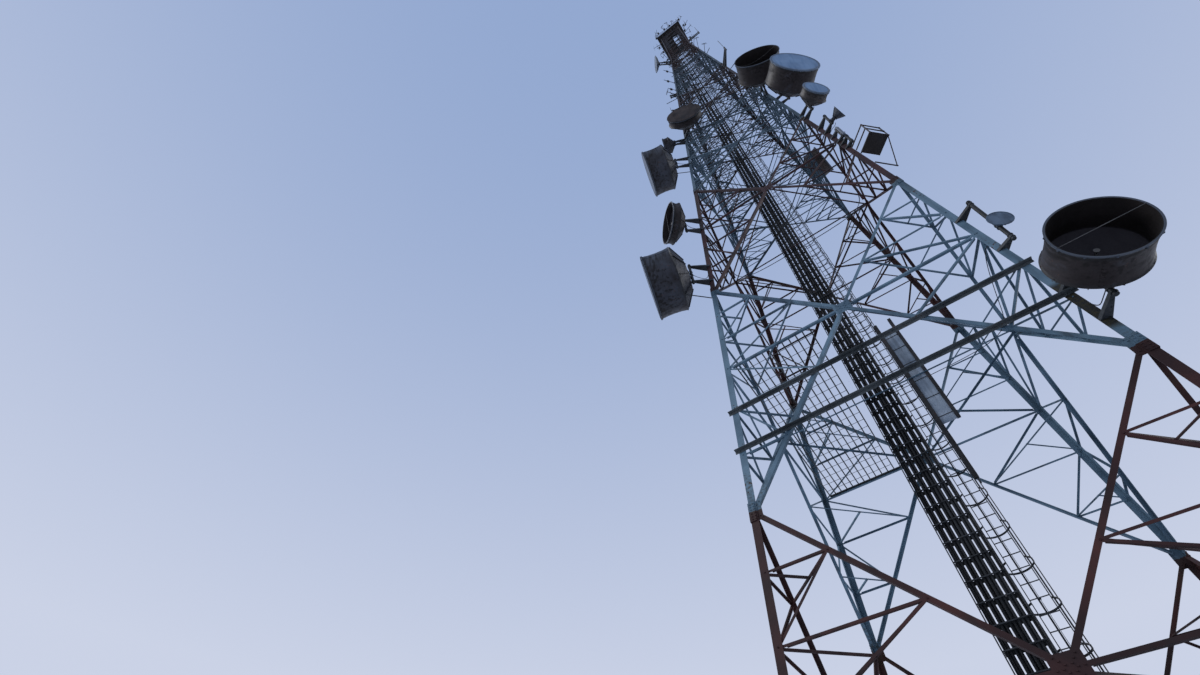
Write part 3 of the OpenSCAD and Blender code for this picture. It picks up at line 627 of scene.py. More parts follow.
def tube(name, routes, width, finish):
    """Round bars or cables of one width, each through its own points"""
    line = bpy.data.curves.new(name, "CURVE")
    line.dimensions = "3D"
    line.bevel_depth = width / 2
    line.bevel_resolution = 2
    line.resolution_u = 6
    line.use_fill_caps = True
    for route in routes:
        spline = line.splines.new("NURBS")
        spline.points.add(len(route) - 1)
        for point, at in zip(spline.points, route):
            point.co = (*at, 1)
        spline.order_u = min(4, len(route))
        spline.use_endpoint_u = True
    made = bpy.data.objects.new(name, line)
    bpy.context.scene.collection.objects.link(made)
    line.materials.append(finish)
    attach(made, "root")


def levels(start, stop, pitch):
    """Heights from start up to stop, one pitch apart"""
    while start < stop:
        yield start
        start += pitch


tube("rear_feeders", [[(cable_x[k] + cable_pitch / 2, rear_y, cable_low.z),
    (cable_x[k] + cable_pitch / 2, rear_y, cable_low.z + cable_run * share)]
    for k, share in rear_cables.items()], rear_width, jacket)
shape = bmesh.new()
for level in levels(ladder_low.z + rung_pitch * 1.5, ladder_high.z, rung_pitch):
    here = [x for x, top in zip(cable_x, cable_top) if top > level]
    if not here:
        continue
    made = bmesh.new()
    y = rear_y + rear_width / 2
    block(made, shift((here[0] + here[-1]) / 2, y + 0.0012, level),
        (here[-1] - here[0] + 0.010, *clamp_size))
    for x in here:
        block(made, shift(x, cable_high.y + 0.0006, level), saddle_size)
        bolt(made, shift(x, y + 0.0019, level) @ swing(-quarter, "X"), 0.0022, 0.0012)
    pour(made, shape)
keep("cable_clamps", shape, ladder_steel)

# Climbing ladder and its cage
# A narrow galvanised ladder with flat hoops round the climber, bolted to upright straps,
# and a thin steel rope up the middle of the rungs for the climber's harness.
hoop_pitch = 0.112
hoop_tall = 0.005
strap_angles = [-20, 35, 90, 145, 200]
rope_width = 0.0011
rope_guide = 0.40
guide_size = (0.0046, 0.0026, 0.0050)
climb_steel = weathered("climb_steel", (0.012, 0.014, 0.018, 1), (0.038, 0.044, 0.052, 1), 0.03)
wear(["climbing_ladder", "safety_cage"], climb_steel)

climb_low, climb_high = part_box("climbing_ladder")
cage_low, cage_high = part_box("safety_cage")
cage_radius = (cage_high.x - cage_low.x) / 2
cage_centre = Vector(((cage_low.x + cage_high.x) / 2, cage_high.y - cage_radius, 0))
climb_middle = (climb_low.x + climb_high.x) / 2
rope_y = climb_high.y + 0.001
tube("safety_rope", [[(climb_middle, rope_y, climb_low.z + 0.02),
    (climb_middle, rope_y, climb_high.z - 0.01)]], rope_width, climb_steel)
shape = bmesh.new()
for level in levels(cage_low.z, climb_high.z - 2 * hoop_tall, hoop_pitch):
    made = bmesh.new()
    for angle in strap_angles:
        strap_at = (shift(*(cage_centre + Vector((0, 0, level + hoop_tall / 2))))
            @ swing(math.radians(angle), "Z") @ swing(quarter, "Y"))
        bolt(made, strap_at @ shift(0, 0, cage_radius), 0.0024, 0.0010)
    pour(made, shape)
for level in levels(climb_low.z + 0.10, climb_high.z, rope_guide):
    block(shape, shift(climb_middle, rope_y - 0.0006, level), guide_size)
keep("cage_bolts", shape, climb_steel)

# Inner platforms
# Two open gratings on the plan frames beside the ladders. Their bars are bare steel with
# thin cross rods pressed in between them.
grating_pitch = 0.022
grating_bar = 0.004
cross_pitch = 0.040
rod_width = 0.0012
grating_steel = weathered("grating_steel", (0.030, 0.034, 0.036, 1), (0.085, 0.094, 0.100, 1),
    0.05)
wear(["inner_platforms"], grating_steel)
deck_low, deck_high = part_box("inner_platforms")
upper_half = half_width(deck_high.z - 0.001) - flange_thick[1] - 0.0014
shape = bmesh.new()
for z, i, half in ((deck_low.z + 0.001, 0, (deck_high.y - deck_low.y) / 2),
        (deck_high.z - 0.001, 1, upper_half)):
    start = middle - half + flange[i] * 1.5
    bays = int((deck_high.x - start) / grating_pitch)
    stop = deck_high.x - (deck_high.x - start) / bays + grating_bar
    count = int(2 * half / cross_pitch)
    for k in range(1, count):
        block(shape, shift((start + stop) / 2, middle - half + k * 2 * half / count, z),
            (stop - start - 0.001, rod_width, rod_width))
keep("grating_rods", shape, grating_steel)

# Head platform
# A chequered plate on top of the legs with a hatch over the ladder, a railing and low
# kick boards. The rods and whips stand on round feet, each held by bolts.
board_tall = 0.014
board_thick = 0.0010
board_bolts = (-0.10, -0.04, 0.04, 0.10)
foot_bolts = (-0.004, 0.004)
deck, place = new_finish("deck_steel")
cloud = grain(place, 9, 5)
lozenge = place.node("TexVoronoi", {"feature": "F1"},
    {"Vector": place, "Scale": 170, "Randomness": 0.1})
worn = steps(grain(place, 60, 5) + (cloud - 0.5) * 0.7, 0.58, 0.70)
chequer = tone(steps(cloud, 0.35, 0.68), (0.014, 0.013, 0.014, 1), (0.042, 0.040, 0.042, 1))
lay_on(deck, tone(worn, chequer, rust), 0.5 + worn * 0.3, steps(lozenge, 0.5, 0.2), 0.0004)
wear(["head_platform"], deck)
wear(["head_rods"], bare_steel)
platform_low, platform_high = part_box("head_platform")
platform_half = (platform_high.x - platform_low.x) / 2
foot_at = platform_half - 0.012
shape = bmesh.new()
for side in range(4):
    edge = shift(middle, middle, platform_low.z + 0.003) @ swing(side * quarter, "Z")
    block(shape, edge @ shift(0, -platform_half + 0.0052, board_tall / 2),
        (2 * platform_half - 0.016, board_thick, board_tall))
    bolt_rows(shape, edge @ shift(0, -platform_half + 0.0047, board_tall / 2)
        @ swing(quarter, "X"), board_bolts, (0,), 0.0024, 0.0010)
    bolt_rows(shape, edge @ shift(foot_at, -foot_at, 0.0044), foot_bolts, foot_bolts, 0.0022,
        0.0012)
keep("kick_boards", shape, deck)

# Guard panel
# A pale sheet between two dark posts beside the climber. It is riveted along both edges
# and stiffened by angles across its back, and clips hold the posts to the plan frames.
panel_low, panel_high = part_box("guard_panel")
panel_middle = (panel_low + panel_high) / 2
posts_from = 0.0231
sheet_bottom = panel_low.z + 0.240
sheet_top = panel_high.z - 0.070
rivet_pitch = 0.030
strap_levels = [0.03, 0.12, 0.21, 0.30, 0.39, 0.46]
sheet, place = new_finish("guard_sheet")
cloud = grain(place, 14, 5)
drips = steps(grain(place, 60, 4, (1, 1, 0.05)), 0.50, 0.72)
post = abs(part(place, 0) - (panel_low.x + panel_high.x) / 2) > posts_from
skin = tone(steps(cloud, 0.35, 0.7), (0.150, 0.195, 0.262, 1), (0.290, 0.345, 0.420, 1))
lay_on(sheet, tone(post, tone(drips * 0.5, skin, grime_and_shade), (0.024, 0.026, 0.030, 1)),
    0.42 + drips * 0.3, cloud, 0.0006)
wear(["guard_panel"], sheet)
shape = bmesh.new()
for level in levels(sheet_bottom + 0.02, sheet_top, rivet_pitch):
    for x in (panel_low.x + 0.007, panel_high.x - 0.007):
        bolt(shape, shift(x, panel_middle.y - 0.001, level) @ swing(quarter, "X"), 0.0018, 0.0008)
keep("guard_rivets", shape, sheet)
post_steel = weathered("post_steel", (0.010, 0.010, 0.011, 1), (0.032, 0.032, 0.036, 1), 0.04)
shape = bmesh.new()
for k in strap_levels:
    at = shift(panel_middle.x, panel_middle.y, sheet_bottom + k)
    block(shape, at @ shift(0, 0.0022, 0), (0.044, 0.0022, 0.0050))
    block(shape, at @ shift(0, -0.0018, 0), (0.050, 0.0012, 0.0022))
for x, foot in ((panel_low.x + 0.001, panel_low.z + 0.02), (panel_high.x - 0.001, sheet_bottom)):
    tall = panel_high.z - foot - 0.002
    for dy in (0.0034, -0.0034):
        block(shape, shift(x, panel_middle.y + dy, foot + tall / 2), (0.0110, 0.0012, tall))
keep("guard_angles", shape, post_steel)

# Drums
# Microwave antennas: a waisted shroud of painted sheet, a dished reflector riveted inside
# it, and behind that a ribbed cone and a flanged hub that is clamped to a pipe.
pipe_width = 0.0114
pipe_gap = 0.0003
hub_radius = 0.022
hub_deep = 0.016
hub_plate = 0.006
wall = 0.0024
lip = 0.003
bowl_share = 0.34
cone_share = 0.7
cone_end = 0.48
waist_share = 0.03
cover_over = 0.002
cover_skin = 0.002
clip_count = 18
rib_count = 10
large_radius = 0.13


def leg_corner(leg, z, inset=0):
    """The outer edge of a leg at a height, or a point that far inside it"""
    cx, cy = corners[leg]
    half = half_width(z) - inset
    return Vector((middle + cx * half, middle + cy * half, z))


class Place:
    """Where an antenna hangs: its leg, height, heading, reach, sideways shift and dip"""

    def __init__(self, leg, height, heading, reach, side=0, dip=0, hub=hub_radius):
        self.leg = leg
        self.heel = leg_corner(leg, height)
        self.height = height
        self.pipe = (shift(*self.heel) @ swing(math.radians(heading), "Z")
            @ shift(reach, side, 0))
        dip = math.radians(dip)
        self.own = (self.pipe @ shift(pipe_width / 2 + pipe_gap + hub * math.sin(dip), 0, 0)
            @ swing(dip, "Y"))


class Drum(Place):
    """A drum with its axis along its own x. ratio is its shroud's length over its width.

    lined is for a drum with a black lining inside its open mouth.
    """

    def __init__(self, leg, height, heading, reach, side, dip, across, ratio=0.56, lined=False):
        super().__init__(leg, height, heading, reach, side, dip)
        self.radius = across / 2
        self.bowl = self.radius * bowl_share
        self.back = hub_deep + self.bowl * cone_share
        self.front = hub_deep + across * ratio
        self.lined = lined

    def skin(self, share):
        """The shroud's outer radius, from 0 at its back to 1 at its mouth"""
        return self.radius * (1 - waist_share * math.sin(math.pi * share))


drums = {
    "drum_right_low": Drum("leg_front_right", 1.309, -77, 0.066, 0.002, 7, 0.185, lined=True),
    "drum_right_small": Drum("leg_front_right", 3.418, -47, 0.049, 0.012, 9, 0.130, 0.48),
    "drum_right_blue": Drum("leg_front_right", 3.911, -51, 0.026, 0.037, 8, 0.268),
    "drum_right_top": Drum("leg_front_right", 4.221, -75, 0.048, -0.014, 6, 0.258, lined=True),
    "drum_left_low": Drum("leg_front_left", 2.436, -163, 0.066, 0.025, 6, 0.272),
    "dish_left": Drum("leg_front_left", 2.955, -135, 0.069, -0.010, 3, 0.194, 0.33),
    "drum_left_high": Drum("leg_front_left", 3.958, -164, 0.073, 0.012, 6, 0.272),
    "drum_left_small": Drum("leg_front_left", 4.400, -165, 0.066, 0.010, 0, 0.105, 0.48),
    "drum_front": Drum("leg_front_left", 4.480, -75, 0.055, 0.040, 6, 0.225, 0.33),
    "drum_back": Drum("leg_back_right", 4.200, -11, -0.007, 0.035, 0, 0.190),
}
brown_drums = {"drum_right_low", "drum_right_blue", "drum_right_top", "drum_right_small",
    "drum_back", "drum_front", "dish_left"}
blue_covers = {"drum_right_blue", "drum_right_small"}
covers = {"drum_right_small": "radome_right_small", "drum_right_blue": "radome_right_blue",
    "drum_left_low": "radome_left_low", "drum_left_high": "radome_left_high",
    "drum_back": "radome_back", "drum_left_small": None, "drum_front": None}
own_paint = {"drum_right_small": ((0.038, 0.034, 0.033, 1), (0.096, 0.088, 0.085, 1)),
    "drum_back": ((0.024, 0.018, 0.016, 1), (0.064, 0.050, 0.046, 1))}
brown_paint = (0.014, 0.011, 0.012, 1), (0.037, 0.032, 0.034, 1)
# Painted reflection: the blue cast of this slate paint stands for the sky reflected in the drums.
sky_tinted_slate = (0.022, 0.023, 0.029, 1), (0.058, 0.070, 0.094, 1)
blue_paint = (0.070, 0.145, 0.270, 1), (0.115, 0.215, 0.370, 1)
grey_paint = (0.046, 0.058, 0.080, 1), (0.085, 0.105, 0.140, 1)
lining_black = (0.0065, 0.0050, 0.0050, 1), (0.016, 0.013, 0.013, 1)
# The colour of the painted shade on the lower side of the drums.
underside_shade = (0.019, 0.013, 0.013, 1)
cover_brown = (0.052, 0.039, 0.035, 1)
bowl_tone = (0.028, 0.026, 0.032, 1)


def on_own_axis(place, own):
    """Object coordinates turned so that x runs along an antenna's axis"""
    back = own.inverted()
    return place.node("Mapping", {}, {"Vector": place, "Location": back.translation,
        "Rotation": back.to_euler()})


def from_axis(place):
    flat = place.node("VectorMath", {"operation": "MULTIPLY"}, {0: place, 1: (0, 1, 1)})
    return flat.node("VectorMath", {"operation": "LENGTH"}, {0: flat}, 1)


def drum_finish(name, drum, paint, covered):
    """Chalky paint with drips and darker lips, painted shade low on the drum, painted light on the
    cone and the lip, and a black lining inside the mouth.

    covered is for a drum whose cover is of one piece with it.
    """
    made, place = new_finish(name)
    own = on_own_axis(place, drum.own)
    along = part(own, 0)
    out = from_axis(own)
    cloud = grain(place, 16, 5)
    fine = grain(place, 170, 6)
    drips = steps(grain(place, 60, 5, (1, 1, 0.07)), 0.50, 0.70)
    colour = tone(steps(cloud + (fine - 0.5) * 0.3, 0.34, 0.66), *paint)
    colour = tone(drips * 0.6, colour, grime_and_shade)
    # Painted shade: the lower part of each drum is darkened.
    shaded_underside = steps(part(own, 2) + (cloud - 0.5) * drum.radius, drum.radius * 0.2,
        -drum.radius * 0.5)
    colour = tone(shaded_underside * 0.4, colour, underside_shade)
    chalk = steps(grain(place, 45, 4, (1, 1, 0.12)) + (cloud - 0.5) * 0.5, 0.60, 0.72)
    # Painted light: the cone behind the shroud is lightened, in the same pale tone as the chalk
    # marks.
    lit_cone = steps(along, drum.back, drum.back - 0.004)
    colour = tone(chalk * 0.25 + lit_cone * 0.10, colour, sky_tinted_slate[1])
    mouth = steps(abs(along - drum.front), 0.016, 0.012)
    seat = steps(abs(along - drum.back), 0.009, 0.006)
    colour = tone((mouth + seat) * 0.5, colour, grime_and_shade)
    worn = steps(fine + (cloud - 0.5) * 0.7, 0.70, 0.76)
    colour = tone(worn * 0.8, colour, rust)
    share = (along - drum.back) / (drum.front - drum.back)
    streaks = grain(place, 85, 5, (1, 1, 0.05)) + share * 0.16
    colour = tone(steps(streaks, 0.62, 0.70) * 0.75, colour, lining_black[0])
    # Painted highlight: a paler band round the lip of the mouth.
    lit_lip = steps(abs(along - drum.front + lip / 2), lip * 1.2, lip * 0.8)
    colour = tone(lit_lip * 0.6, colour, grey_paint[1])
    waist = share.maths("SINE", share * math.pi)
    skin = drum.radius - waist * (drum.radius * waist_share)
    bowl = out * out * (0.85 * drum.bowl / drum.radius ** 2) + hub_deep
    inside = (out < skin - wall / 2) * (along > bowl)
    lining = tone(steps(cloud, 0.35, 0.70), *(lining_black if drum.lined else brown_paint))
    lining = tone(steps(along - bowl, 0.012, 0.006), lining, bowl_tone)
    colour = tone(inside, colour, lining)
    if covered:
        cover = tone(steps(cloud, 0.35, 0.68), brown_paint[0], cover_brown)
        colour = tone(along > drum.front + pipe_gap / 2, colour, cover)
    lay_on(made, colour, 0.48 + drips * 0.2 + inside * 0.2, fine * 0.5 - worn * 0.6, 0.0005)
    return made


def cover_finish(name, drum, shade, light):
    """Stretched or moulded cover, darker towards its edge, and dirt that has run down"""
    made, place = new_finish(name)
    out = from_axis(on_own_axis(place, drum.own))
    cloud = grain(place, 12, 5)
    fine = grain(place, 120, 5)
    drips = steps(grain(place, 46, 4, (1, 1, 0.05)), 0.48, 0.74)
    colour = tone(steps(cloud, 0.35, 0.68), shade, light)
    colour = tone(drips * 0.35, colour, shade)
    colour = tone(steps(out, drum.radius * 0.80, drum.radius) * 0.35, colour, grime_and_shade)
    lay_on(made, colour, 0.40 + drips * 0.25, cloud + fine * 0.2, 0.0012, 0.35)
    return made


def on_rim(own, x, angle, out, aside=0):
    """At x along an antenna's axis and out from it, turned so that z points outwards"""
    return own @ shift(x, 0, 0) @ swing(angle, "X") @ shift(0, aside, out)


def ring(shape, own, x, radius, wide, tall, count=72):
    """A flat hoop round an antenna's axis, as one closed band"""
    band = bmesh.new()
    profile = [(x - wide / 2, radius), (x + wide / 2, radius), (x + wide / 2, radius + tall),
        (x - wide / 2, radius + tall)]
    bar = [band.verts.new((bx, 0, bz)) for bx, bz in profile]
    edges = [band.edges.new((bar[k], bar[(k + 1) % 4])) for k in range(4)]
    bmesh.ops.spin(band, geom=bar + edges, cent=(0, 0, 0), axis=(1, 0, 0),
        angle=2 * math.pi, steps=count, use_merge=True)
    bmesh.ops.remove_doubles(band, verts=band.verts[:], dist=1e-6)
    bmesh.ops.recalc_face_normals(band, faces=band.faces[:])
    bmesh.ops.transform(band, matrix=own, verts=band.verts[:])
    pour(band, shape)


def fins(shape, own, count, start, stop, thick, tall):
    """Flat ribs that stand on a cone, from (x, radius) to (x, radius)"""
    slope = math.atan2(stop[1] - start[1], stop[0] - start[0])
    length = math.hypot(stop[1] - start[1], stop[0] - start[0])
    for k in range(count):
        at = (own @ swing(2 * math.pi * k / count, "X")
            @ shift((start[0] + stop[0]) / 2, 0, (start[1] + stop[1]) / 2) @ swing(-slope, "Y"))
        block(shape, at @ shift(0, 0, tall / 2), (length, thick, tall))


def pipe_clamp(shape, place, dz, depth):
    """A round strap behind the pipe, with two threaded ends through a saddle plate"""
    grip = pipe_width / 2 + 0.0010
    at = place.pipe @ shift(0, 0, dz)
    for k in range(7):
        block(shape, at @ swing(quarter + k * math.pi / 6, "Z") @ shift(grip, 0, 0),
            (0.0016, grip * 0.56, 0.0030))
    for s in (-1, 1):
        block(shape, at @ shift(depth / 2, s * grip, 0), (depth, 0.0016, 0.0016))
        bolt(shape, at @ shift(depth, s * grip, 0) @ swing(quarter, "Y"), 0.0034, 0.0016)
    block(shape, at @ shift(depth - 0.0008, 0, 0), (0.0016, 2.9 * grip, 0.0058))


def drum_fittings(drum):
    """Clips and hoops at the lips, seams along the barrel, ribs, hub bolts and clamps"""
    shape = bmesh.new()
    own = drum.own
    r = drum.radius
    big = r / large_radius
    clips = max(10, int(clip_count * big))
    for k in range(clips):
        angle = 2 * math.pi * (k + 0.5) / clips
        block(shape, on_rim(own, drum.front - 0.0035, angle, r + lip * 0.40),
            (0.0056, 0.0046, 0.0034))
        bolt(shape, on_rim(own, drum.front - 0.0045, angle, r + lip * 0.40 + 0.0017), 0.0026,
            0.0010)
        bolt(shape, on_rim(own, drum.back + lip, angle, r + lip * 0.4), 0.0026, 0.0014)
    joints = 3 if r > 0.08 else 2
    for j in range(joints):
        angle = 2 * math.pi * (j + 0.3) / joints
        for k in range(4):
            low, high = k / 4, (k + 1) / 4
            x0 = drum.back + (drum.front - drum.back) * low
            x1 = drum.back + (drum.front - drum.back) * high
            fins(shape, own @ swing(angle, "X"), 1, (x0, drum.skin(low)), (x1, drum.skin(high)),
                0.0110 * big, 0.0007)
            for f in (0.25, 0.75):
                skin = drum.skin(low) + (drum.skin(high) - drum.skin(low)) * f
                for dy in (-0.0034, 0.0034):
                    bolt(shape, on_rim(own, x0 + (x1 - x0) * f, angle, skin + 0.0006, dy * big),
                        0.0018, 0.0008)
    ring(shape, own, drum.front - 0.016 * big, drum.skin(0.85) - 0.0002, 0.0050 * big, 0.0012)
    fins(shape, own, rib_count, (hub_plate + 0.001, r * cone_end), (drum.back, r - 0.0005),
        0.0016, 0.0046 * big)
    ring(shape, own, hub_plate + 0.0005, hub_radius + 0.0006, 0.0032, 0.0060 * min(1, big), 48)
    out = (hub_radius + r * cone_end) / 2 + 0.003
    for k in range(12):
        bolt(shape, on_rim(own, hub_plate, 2 * math.pi * (k + 0.5) / 12, out)
            @ swing(-quarter, "Y"), 0.0032, 0.0018)
    pair_of_clamps(shape, drum, 0.012, 0.0030)
    return shape


def pair_of_clamps(shape, place, apart, stand):
    """Two clamps round an antenna's pipe, with their saddles that far in front of it"""
    for dz in (-apart, apart):
        pipe_clamp(shape, place, dz, pipe_width / 2 + stand)


def cover_hoop(drum):
    """The rim that holds a cover on, with a spring clip every so often"""
    shape = bmesh.new()
    own = drum.own
    r = drum.radius + cover_over
    x = drum.front + pipe_gap + cover_skin / 2
    ring(shape, own, x - 0.0015, r - 0.0001, 0.0040, 0.0009)
    ring(shape, own, x + cover_skin / 2 + 0.0003, r - 0.0090, 0.0010, 0.0050)
    clips = max(10, int(clip_count * 1.3 * drum.radius / large_radius))
    for k in range(clips):
        at = on_rim(own, x, 2 * math.pi * k / clips, r + 0.0012)
        block(shape, at @ shift(-0.0030, 0, 0), (0.0064, 0.0030, 0.0012))
        bolt(shape, at @ shift(-0.0044, 0, 0.0005), 0.0022, 0.0009)
    return shape


rim_paint = weathered("rim_paint", (0.060, 0.078, 0.105, 1), (0.150, 0.190, 0.245, 1), 0.0)
for name, drum in drums.items():
    common = brown_paint if name in brown_drums else sky_tinted_slate
    covered = name in covers and covers[name] is None
    paint = drum_finish("paint_" + name, drum, own_paint.get(name, common), covered)
    wear([name], paint)
    keep("fittings_" + name, drum_fittings(drum), paint)
    if name not in covers:
        continue
    pale = name in blue_covers
    if covers[name]:
        wear([covers[name]],
            cover_finish("cover_" + name, drum, *(blue_paint if pale else grey_paint)))
    keep("hoop_" + name, cover_hoop(drum), rim_paint if pale else paint)

# Feeds of the open drums
# A stub of waveguide rises from the middle of the bowl to a small round cap. A rod across
# the mouth, bolted to the lips, keeps the drum round, and in the top drum it is bent.
rod_thick = 0.0016
rods_across = {"drum_right_low": (13, 0), "drum_right_top": (20, 0.030), "dish_left": (80, 0)}
guide_radius = 0.0022
cap_radius = 0.0060
feed_steel = weathered("feed_steel", (0.050, 0.050, 0.052, 1), (0.120, 0.118, 0.120, 1), 0.0)
for name, (angle, bent) in rods_across.items():
    drum = drums[name]
    own = drum.own
    r = drum.radius
    turn = math.radians(angle)
    foot = hub_deep + wall + drum.bowl / 2
    end = Vector((0, (r + 0.0005) * math.cos(turn), (r + 0.0005) * math.sin(turn)))
    mouth = Vector((drum.front + 0.0004, 0, 0))
    tube("rod_" + name, [[own @ (mouth - end), own @ (mouth - end * 0.5 - Vector((bent, 0, 0))),
        own @ (mouth - Vector((bent * 1.2, 0, 0))), own @ (mouth + end)]], rod_thick, feed_steel)
    shape = bmesh.new()
    ring(shape, own, foot + 0.0005, 0.0036, 0.003, 0.0060, 32)
    for k in range(6):
        bolt(shape, on_rim(own, foot + 0.0020, k * math.pi / 3, 0.0068) @ swing(quarter, "Y"),
            0.0022, 0.0012)
    rod(shape, own @ shift(foot + r * 0.12, 0, 0) @ swing(quarter, "Y"), guide_radius,
        guide_radius, r * 0.24)
    rod(shape, own @ shift(foot + r * 0.24, 0, 0) @ swing(quarter, "Y"), 0.0030, cap_radius,
        0.0050)
    keep("feed_" + name, shape, feed_steel)

# Shallow dishes, horn and panel
# The small dishes are one pressed bowl with a flat cover. The horn is a spun cone, and the
# panel a plain moulded case with two brackets at its back.
flat_hub = 0.4
flat_deep = 0.3
flat_paint = (0.040, 0.060, 0.095, 1), (0.095, 0.140, 0.205, 1)
flat_dishes = {
    "dish_right_small": (Place("leg_front_right", 1.694, -68, 0.032, 0.013, 5,
        0.0305 * flat_hub), 0.0305),
    "dish_head": (Place("leg_front_left", 7.300, -150, 0.120, 0, 4, 0.080 * flat_hub), 0.080),
}
for name, (place, r) in flat_dishes.items():
    made, at = new_finish("paint_" + name)
    cloud = grain(at, 30, 5)
    drips = steps(grain(at, 90, 4, (1, 1, 0.08)), 0.5, 0.7)
    x = hub_plate + r * flat_deep
    behind = part(on_own_axis(at, place.own), 0) < x - 0.0002
    colour = tone(behind * 0.45, tone(steps(cloud, 0.35, 0.68), *flat_paint), grime_and_shade)
    lay_on(made, tone(drips * 0.5, colour, grime_and_shade), 0.42 + drips * 0.2, cloud, 0.0006)
    wear([name], made)
    shape = bmesh.new()
    ring(shape, place.own, x + 0.0022, r - 0.0006, 0.0012, 0.0022, 56)
    fins(shape, place.own, 8, (hub_plate, r * flat_hub + 0.0005), (x - 0.001, r * 0.97), 0.0010,
        0.0022)
    for k in range(6):
        bolt(shape, on_rim(place.own, 0.003, k * math.pi / 3, r * flat_hub), 0.0022, 0.0010)
    pair_of_clamps(shape, place, 0.007, 0.0022)
    keep("fittings_" + name, shape, made)

horn = Place("leg_front_right", 3.060, -20, 0.038, -0.017)
horn_neck = 0.009
horn_neck_long = 0.016
horn_long = 0.046
horn_mouth = 0.032
horn_paint = weathered("horn_paint", sky_tinted_slate[0], grey_paint[1], 0.02)
wear(["horn_right"], horn_paint)
shape = bmesh.new()
ring(shape, horn.own, horn_long + 0.0012, horn_mouth, 0.0034, 0.0012, 48)
ring(shape, horn.own, horn_neck_long, horn_neck + 0.0004, 0.0024, 0.0040, 32)
fins(shape, horn.own, 4, (horn_neck_long + 0.0012, horn_neck + 0.001),
    (horn_long - 0.002, horn_mouth - 0.001), 0.0010, 0.0026)
for k in range(8):
    bolt(shape, on_rim(horn.own, horn_neck_long + 0.0012, k * math.pi / 4, 0.0116)
        @ swing(quarter, "Y"), 0.0018, 0.0010)
pair_of_clamps(shape, horn, 0.006, 0.0022)
keep("fittings_horn", shape, horn_paint)

case = Place("leg_front_right", 2.917, -48, 0.024)
case_wide = 0.014
case_tall = 0.100
case_paint = weathered("case_paint", (0.090, 0.110, 0.145, 1), (0.185, 0.215, 0.265, 1), -0.05)
wear(["panel_right"], case_paint)
shape = bmesh.new()
pair_of_clamps(shape, case, 0.036, 0.0012)
for s in (-1, 1):
    block(shape, case.own @ shift(0.0025, 0, s * (case_tall / 2 + 0.0006)),
        (0.0060, case_wide + 0.001, 0.0012))
for dy in (-0.0036, 0.0036):
    rod(shape, case.own @ shift(0.0025, dy, -case_tall / 2 - 0.004), 0.0017, 0.0017, 0.006, 12)
keep("fittings_panel", shape, case_paint)

# Framed box
# A cage of square tube at the corner of the front right leg, with a dark slab in its foot
# and a stay down to a lower arm. It is clamped to the leg by bolted plates.
box_z = 2.647
box_reach = 0.084
box_wide = 0.082
box_tall = 0.105
box_bar = 0.004
box_slab = 0.009
rib_pitch = 0.014
box_own = shift(*leg_corner("leg_front_right", box_z)) @ swing(-math.pi / 4, "Z")
box_paint = weathered("box_paint", (0.011, 0.009, 0.009, 1), (0.032, 0.027, 0.027, 1), 0.08)
wear(["box_antenna"], box_paint)
shape = bmesh.new()
for k in range(5):
    block(shape, box_own @ shift(box_bar + 0.010 + k * rib_pitch, box_wide / 2, box_slab + 0.0010),
        (0.0030, box_wide - box_bar * 2.5, 0.0020))
for x in (box_bar + 0.006, box_reach - 0.008):
    for y in (box_bar + 0.006, box_wide - box_bar - 0.006):
        bolt(shape, box_own @ shift(x, y, -0.0001) @ swing(math.pi, "X"), 0.0036, 0.0016)
for y in (box_bar / 2, box_wide - box_bar / 2):
    for z in (box_bar / 2, box_tall / 2 + box_bar / 2, box_tall - box_bar / 2):
        block(shape, box_own @ shift(box_reach - box_bar / 2, y, z), (0.0056, 0.0056, 0.0056))
keep("box_fittings", shape, box_paint)

# Pipes and arms
# Every antenna hangs on a short pipe between two flat arms, which grip the corner of the
# leg. Caps close the pipes, and bolts go through each arm beside the pipe and at the leg.
arm_tall = 0.010
pipe_over = 0.014
arm_bolts = (0.30, 0.62)
pipes = [(drums["drum_right_low"], 0.130, 0), (flat_dishes["dish_right_small"][0], 0.220, 0.045),
    (Place("leg_front_right", 2.802, -48, 0.024), 0.060, 0), (case, 0.080, 0),
    (horn, 0.100, 0.040), (drums["drum_right_small"], 0.080, 0),
    (drums["drum_right_blue"], 0.120, 0), (drums["drum_right_top"], 0.120, 0),
    (drums["drum_back"], 0.100, 0), (drums["drum_left_low"], 0.130, 0),
    (drums["dish_left"], 0.120, 0), (drums["drum_left_high"], 0.130, 0),
    (drums["drum_left_small"], 0.060, 0), (drums["drum_front"], 0.120, 0.025),
    (Place("leg_front_left", 5.230, -170, 0.045), 0.160, 0),
    (Place("leg_front_left", 5.800, -165, 0.050), 0.060, 0),
    (flat_dishes["dish_head"][0], 0.110, 0)]
mount_steel = weathered("mount_steel", (0.014, 0.016, 0.019, 1), (0.044, 0.050, 0.058, 1), 0.05)
wear(["mounts_right", "mounts_left"], mount_steel)
shape = bmesh.new()
for place, span, up in pipes:
    at = place.pipe @ shift(0, 0, up)
    rod(shape, at @ shift(0, 0, span / 2 + pipe_over + 0.0009), pipe_width / 2 + 0.0007,
        pipe_width / 2 - 0.0005, 0.0030)
    for s in (-1, 1):
        level = at @ shift(0, 0, s * span / 2)
        post = level.translation
        out = (leg_corner(place.leg, post.z) - post).to_2d()
        arm = shift(*post) @ swing(math.atan2(out.y, out.x), "Z")
        for ds in (-1, 1):
            rod(shape, level @ shift(0, 0, ds * (arm_tall / 2 + 0.0012)),
                pipe_width / 2 + 0.0016, pipe_width / 2 + 0.0016, 0.0022)
            for share in arm_bolts:
                bolt(shape, arm @ shift(out.length * share, 0, ds * arm_tall / 2)
                    @ swing(0 if ds > 0 else math.pi, "X"), 0.0030, 0.0014)
keep("pipe_fittings", shape, mount_steel)

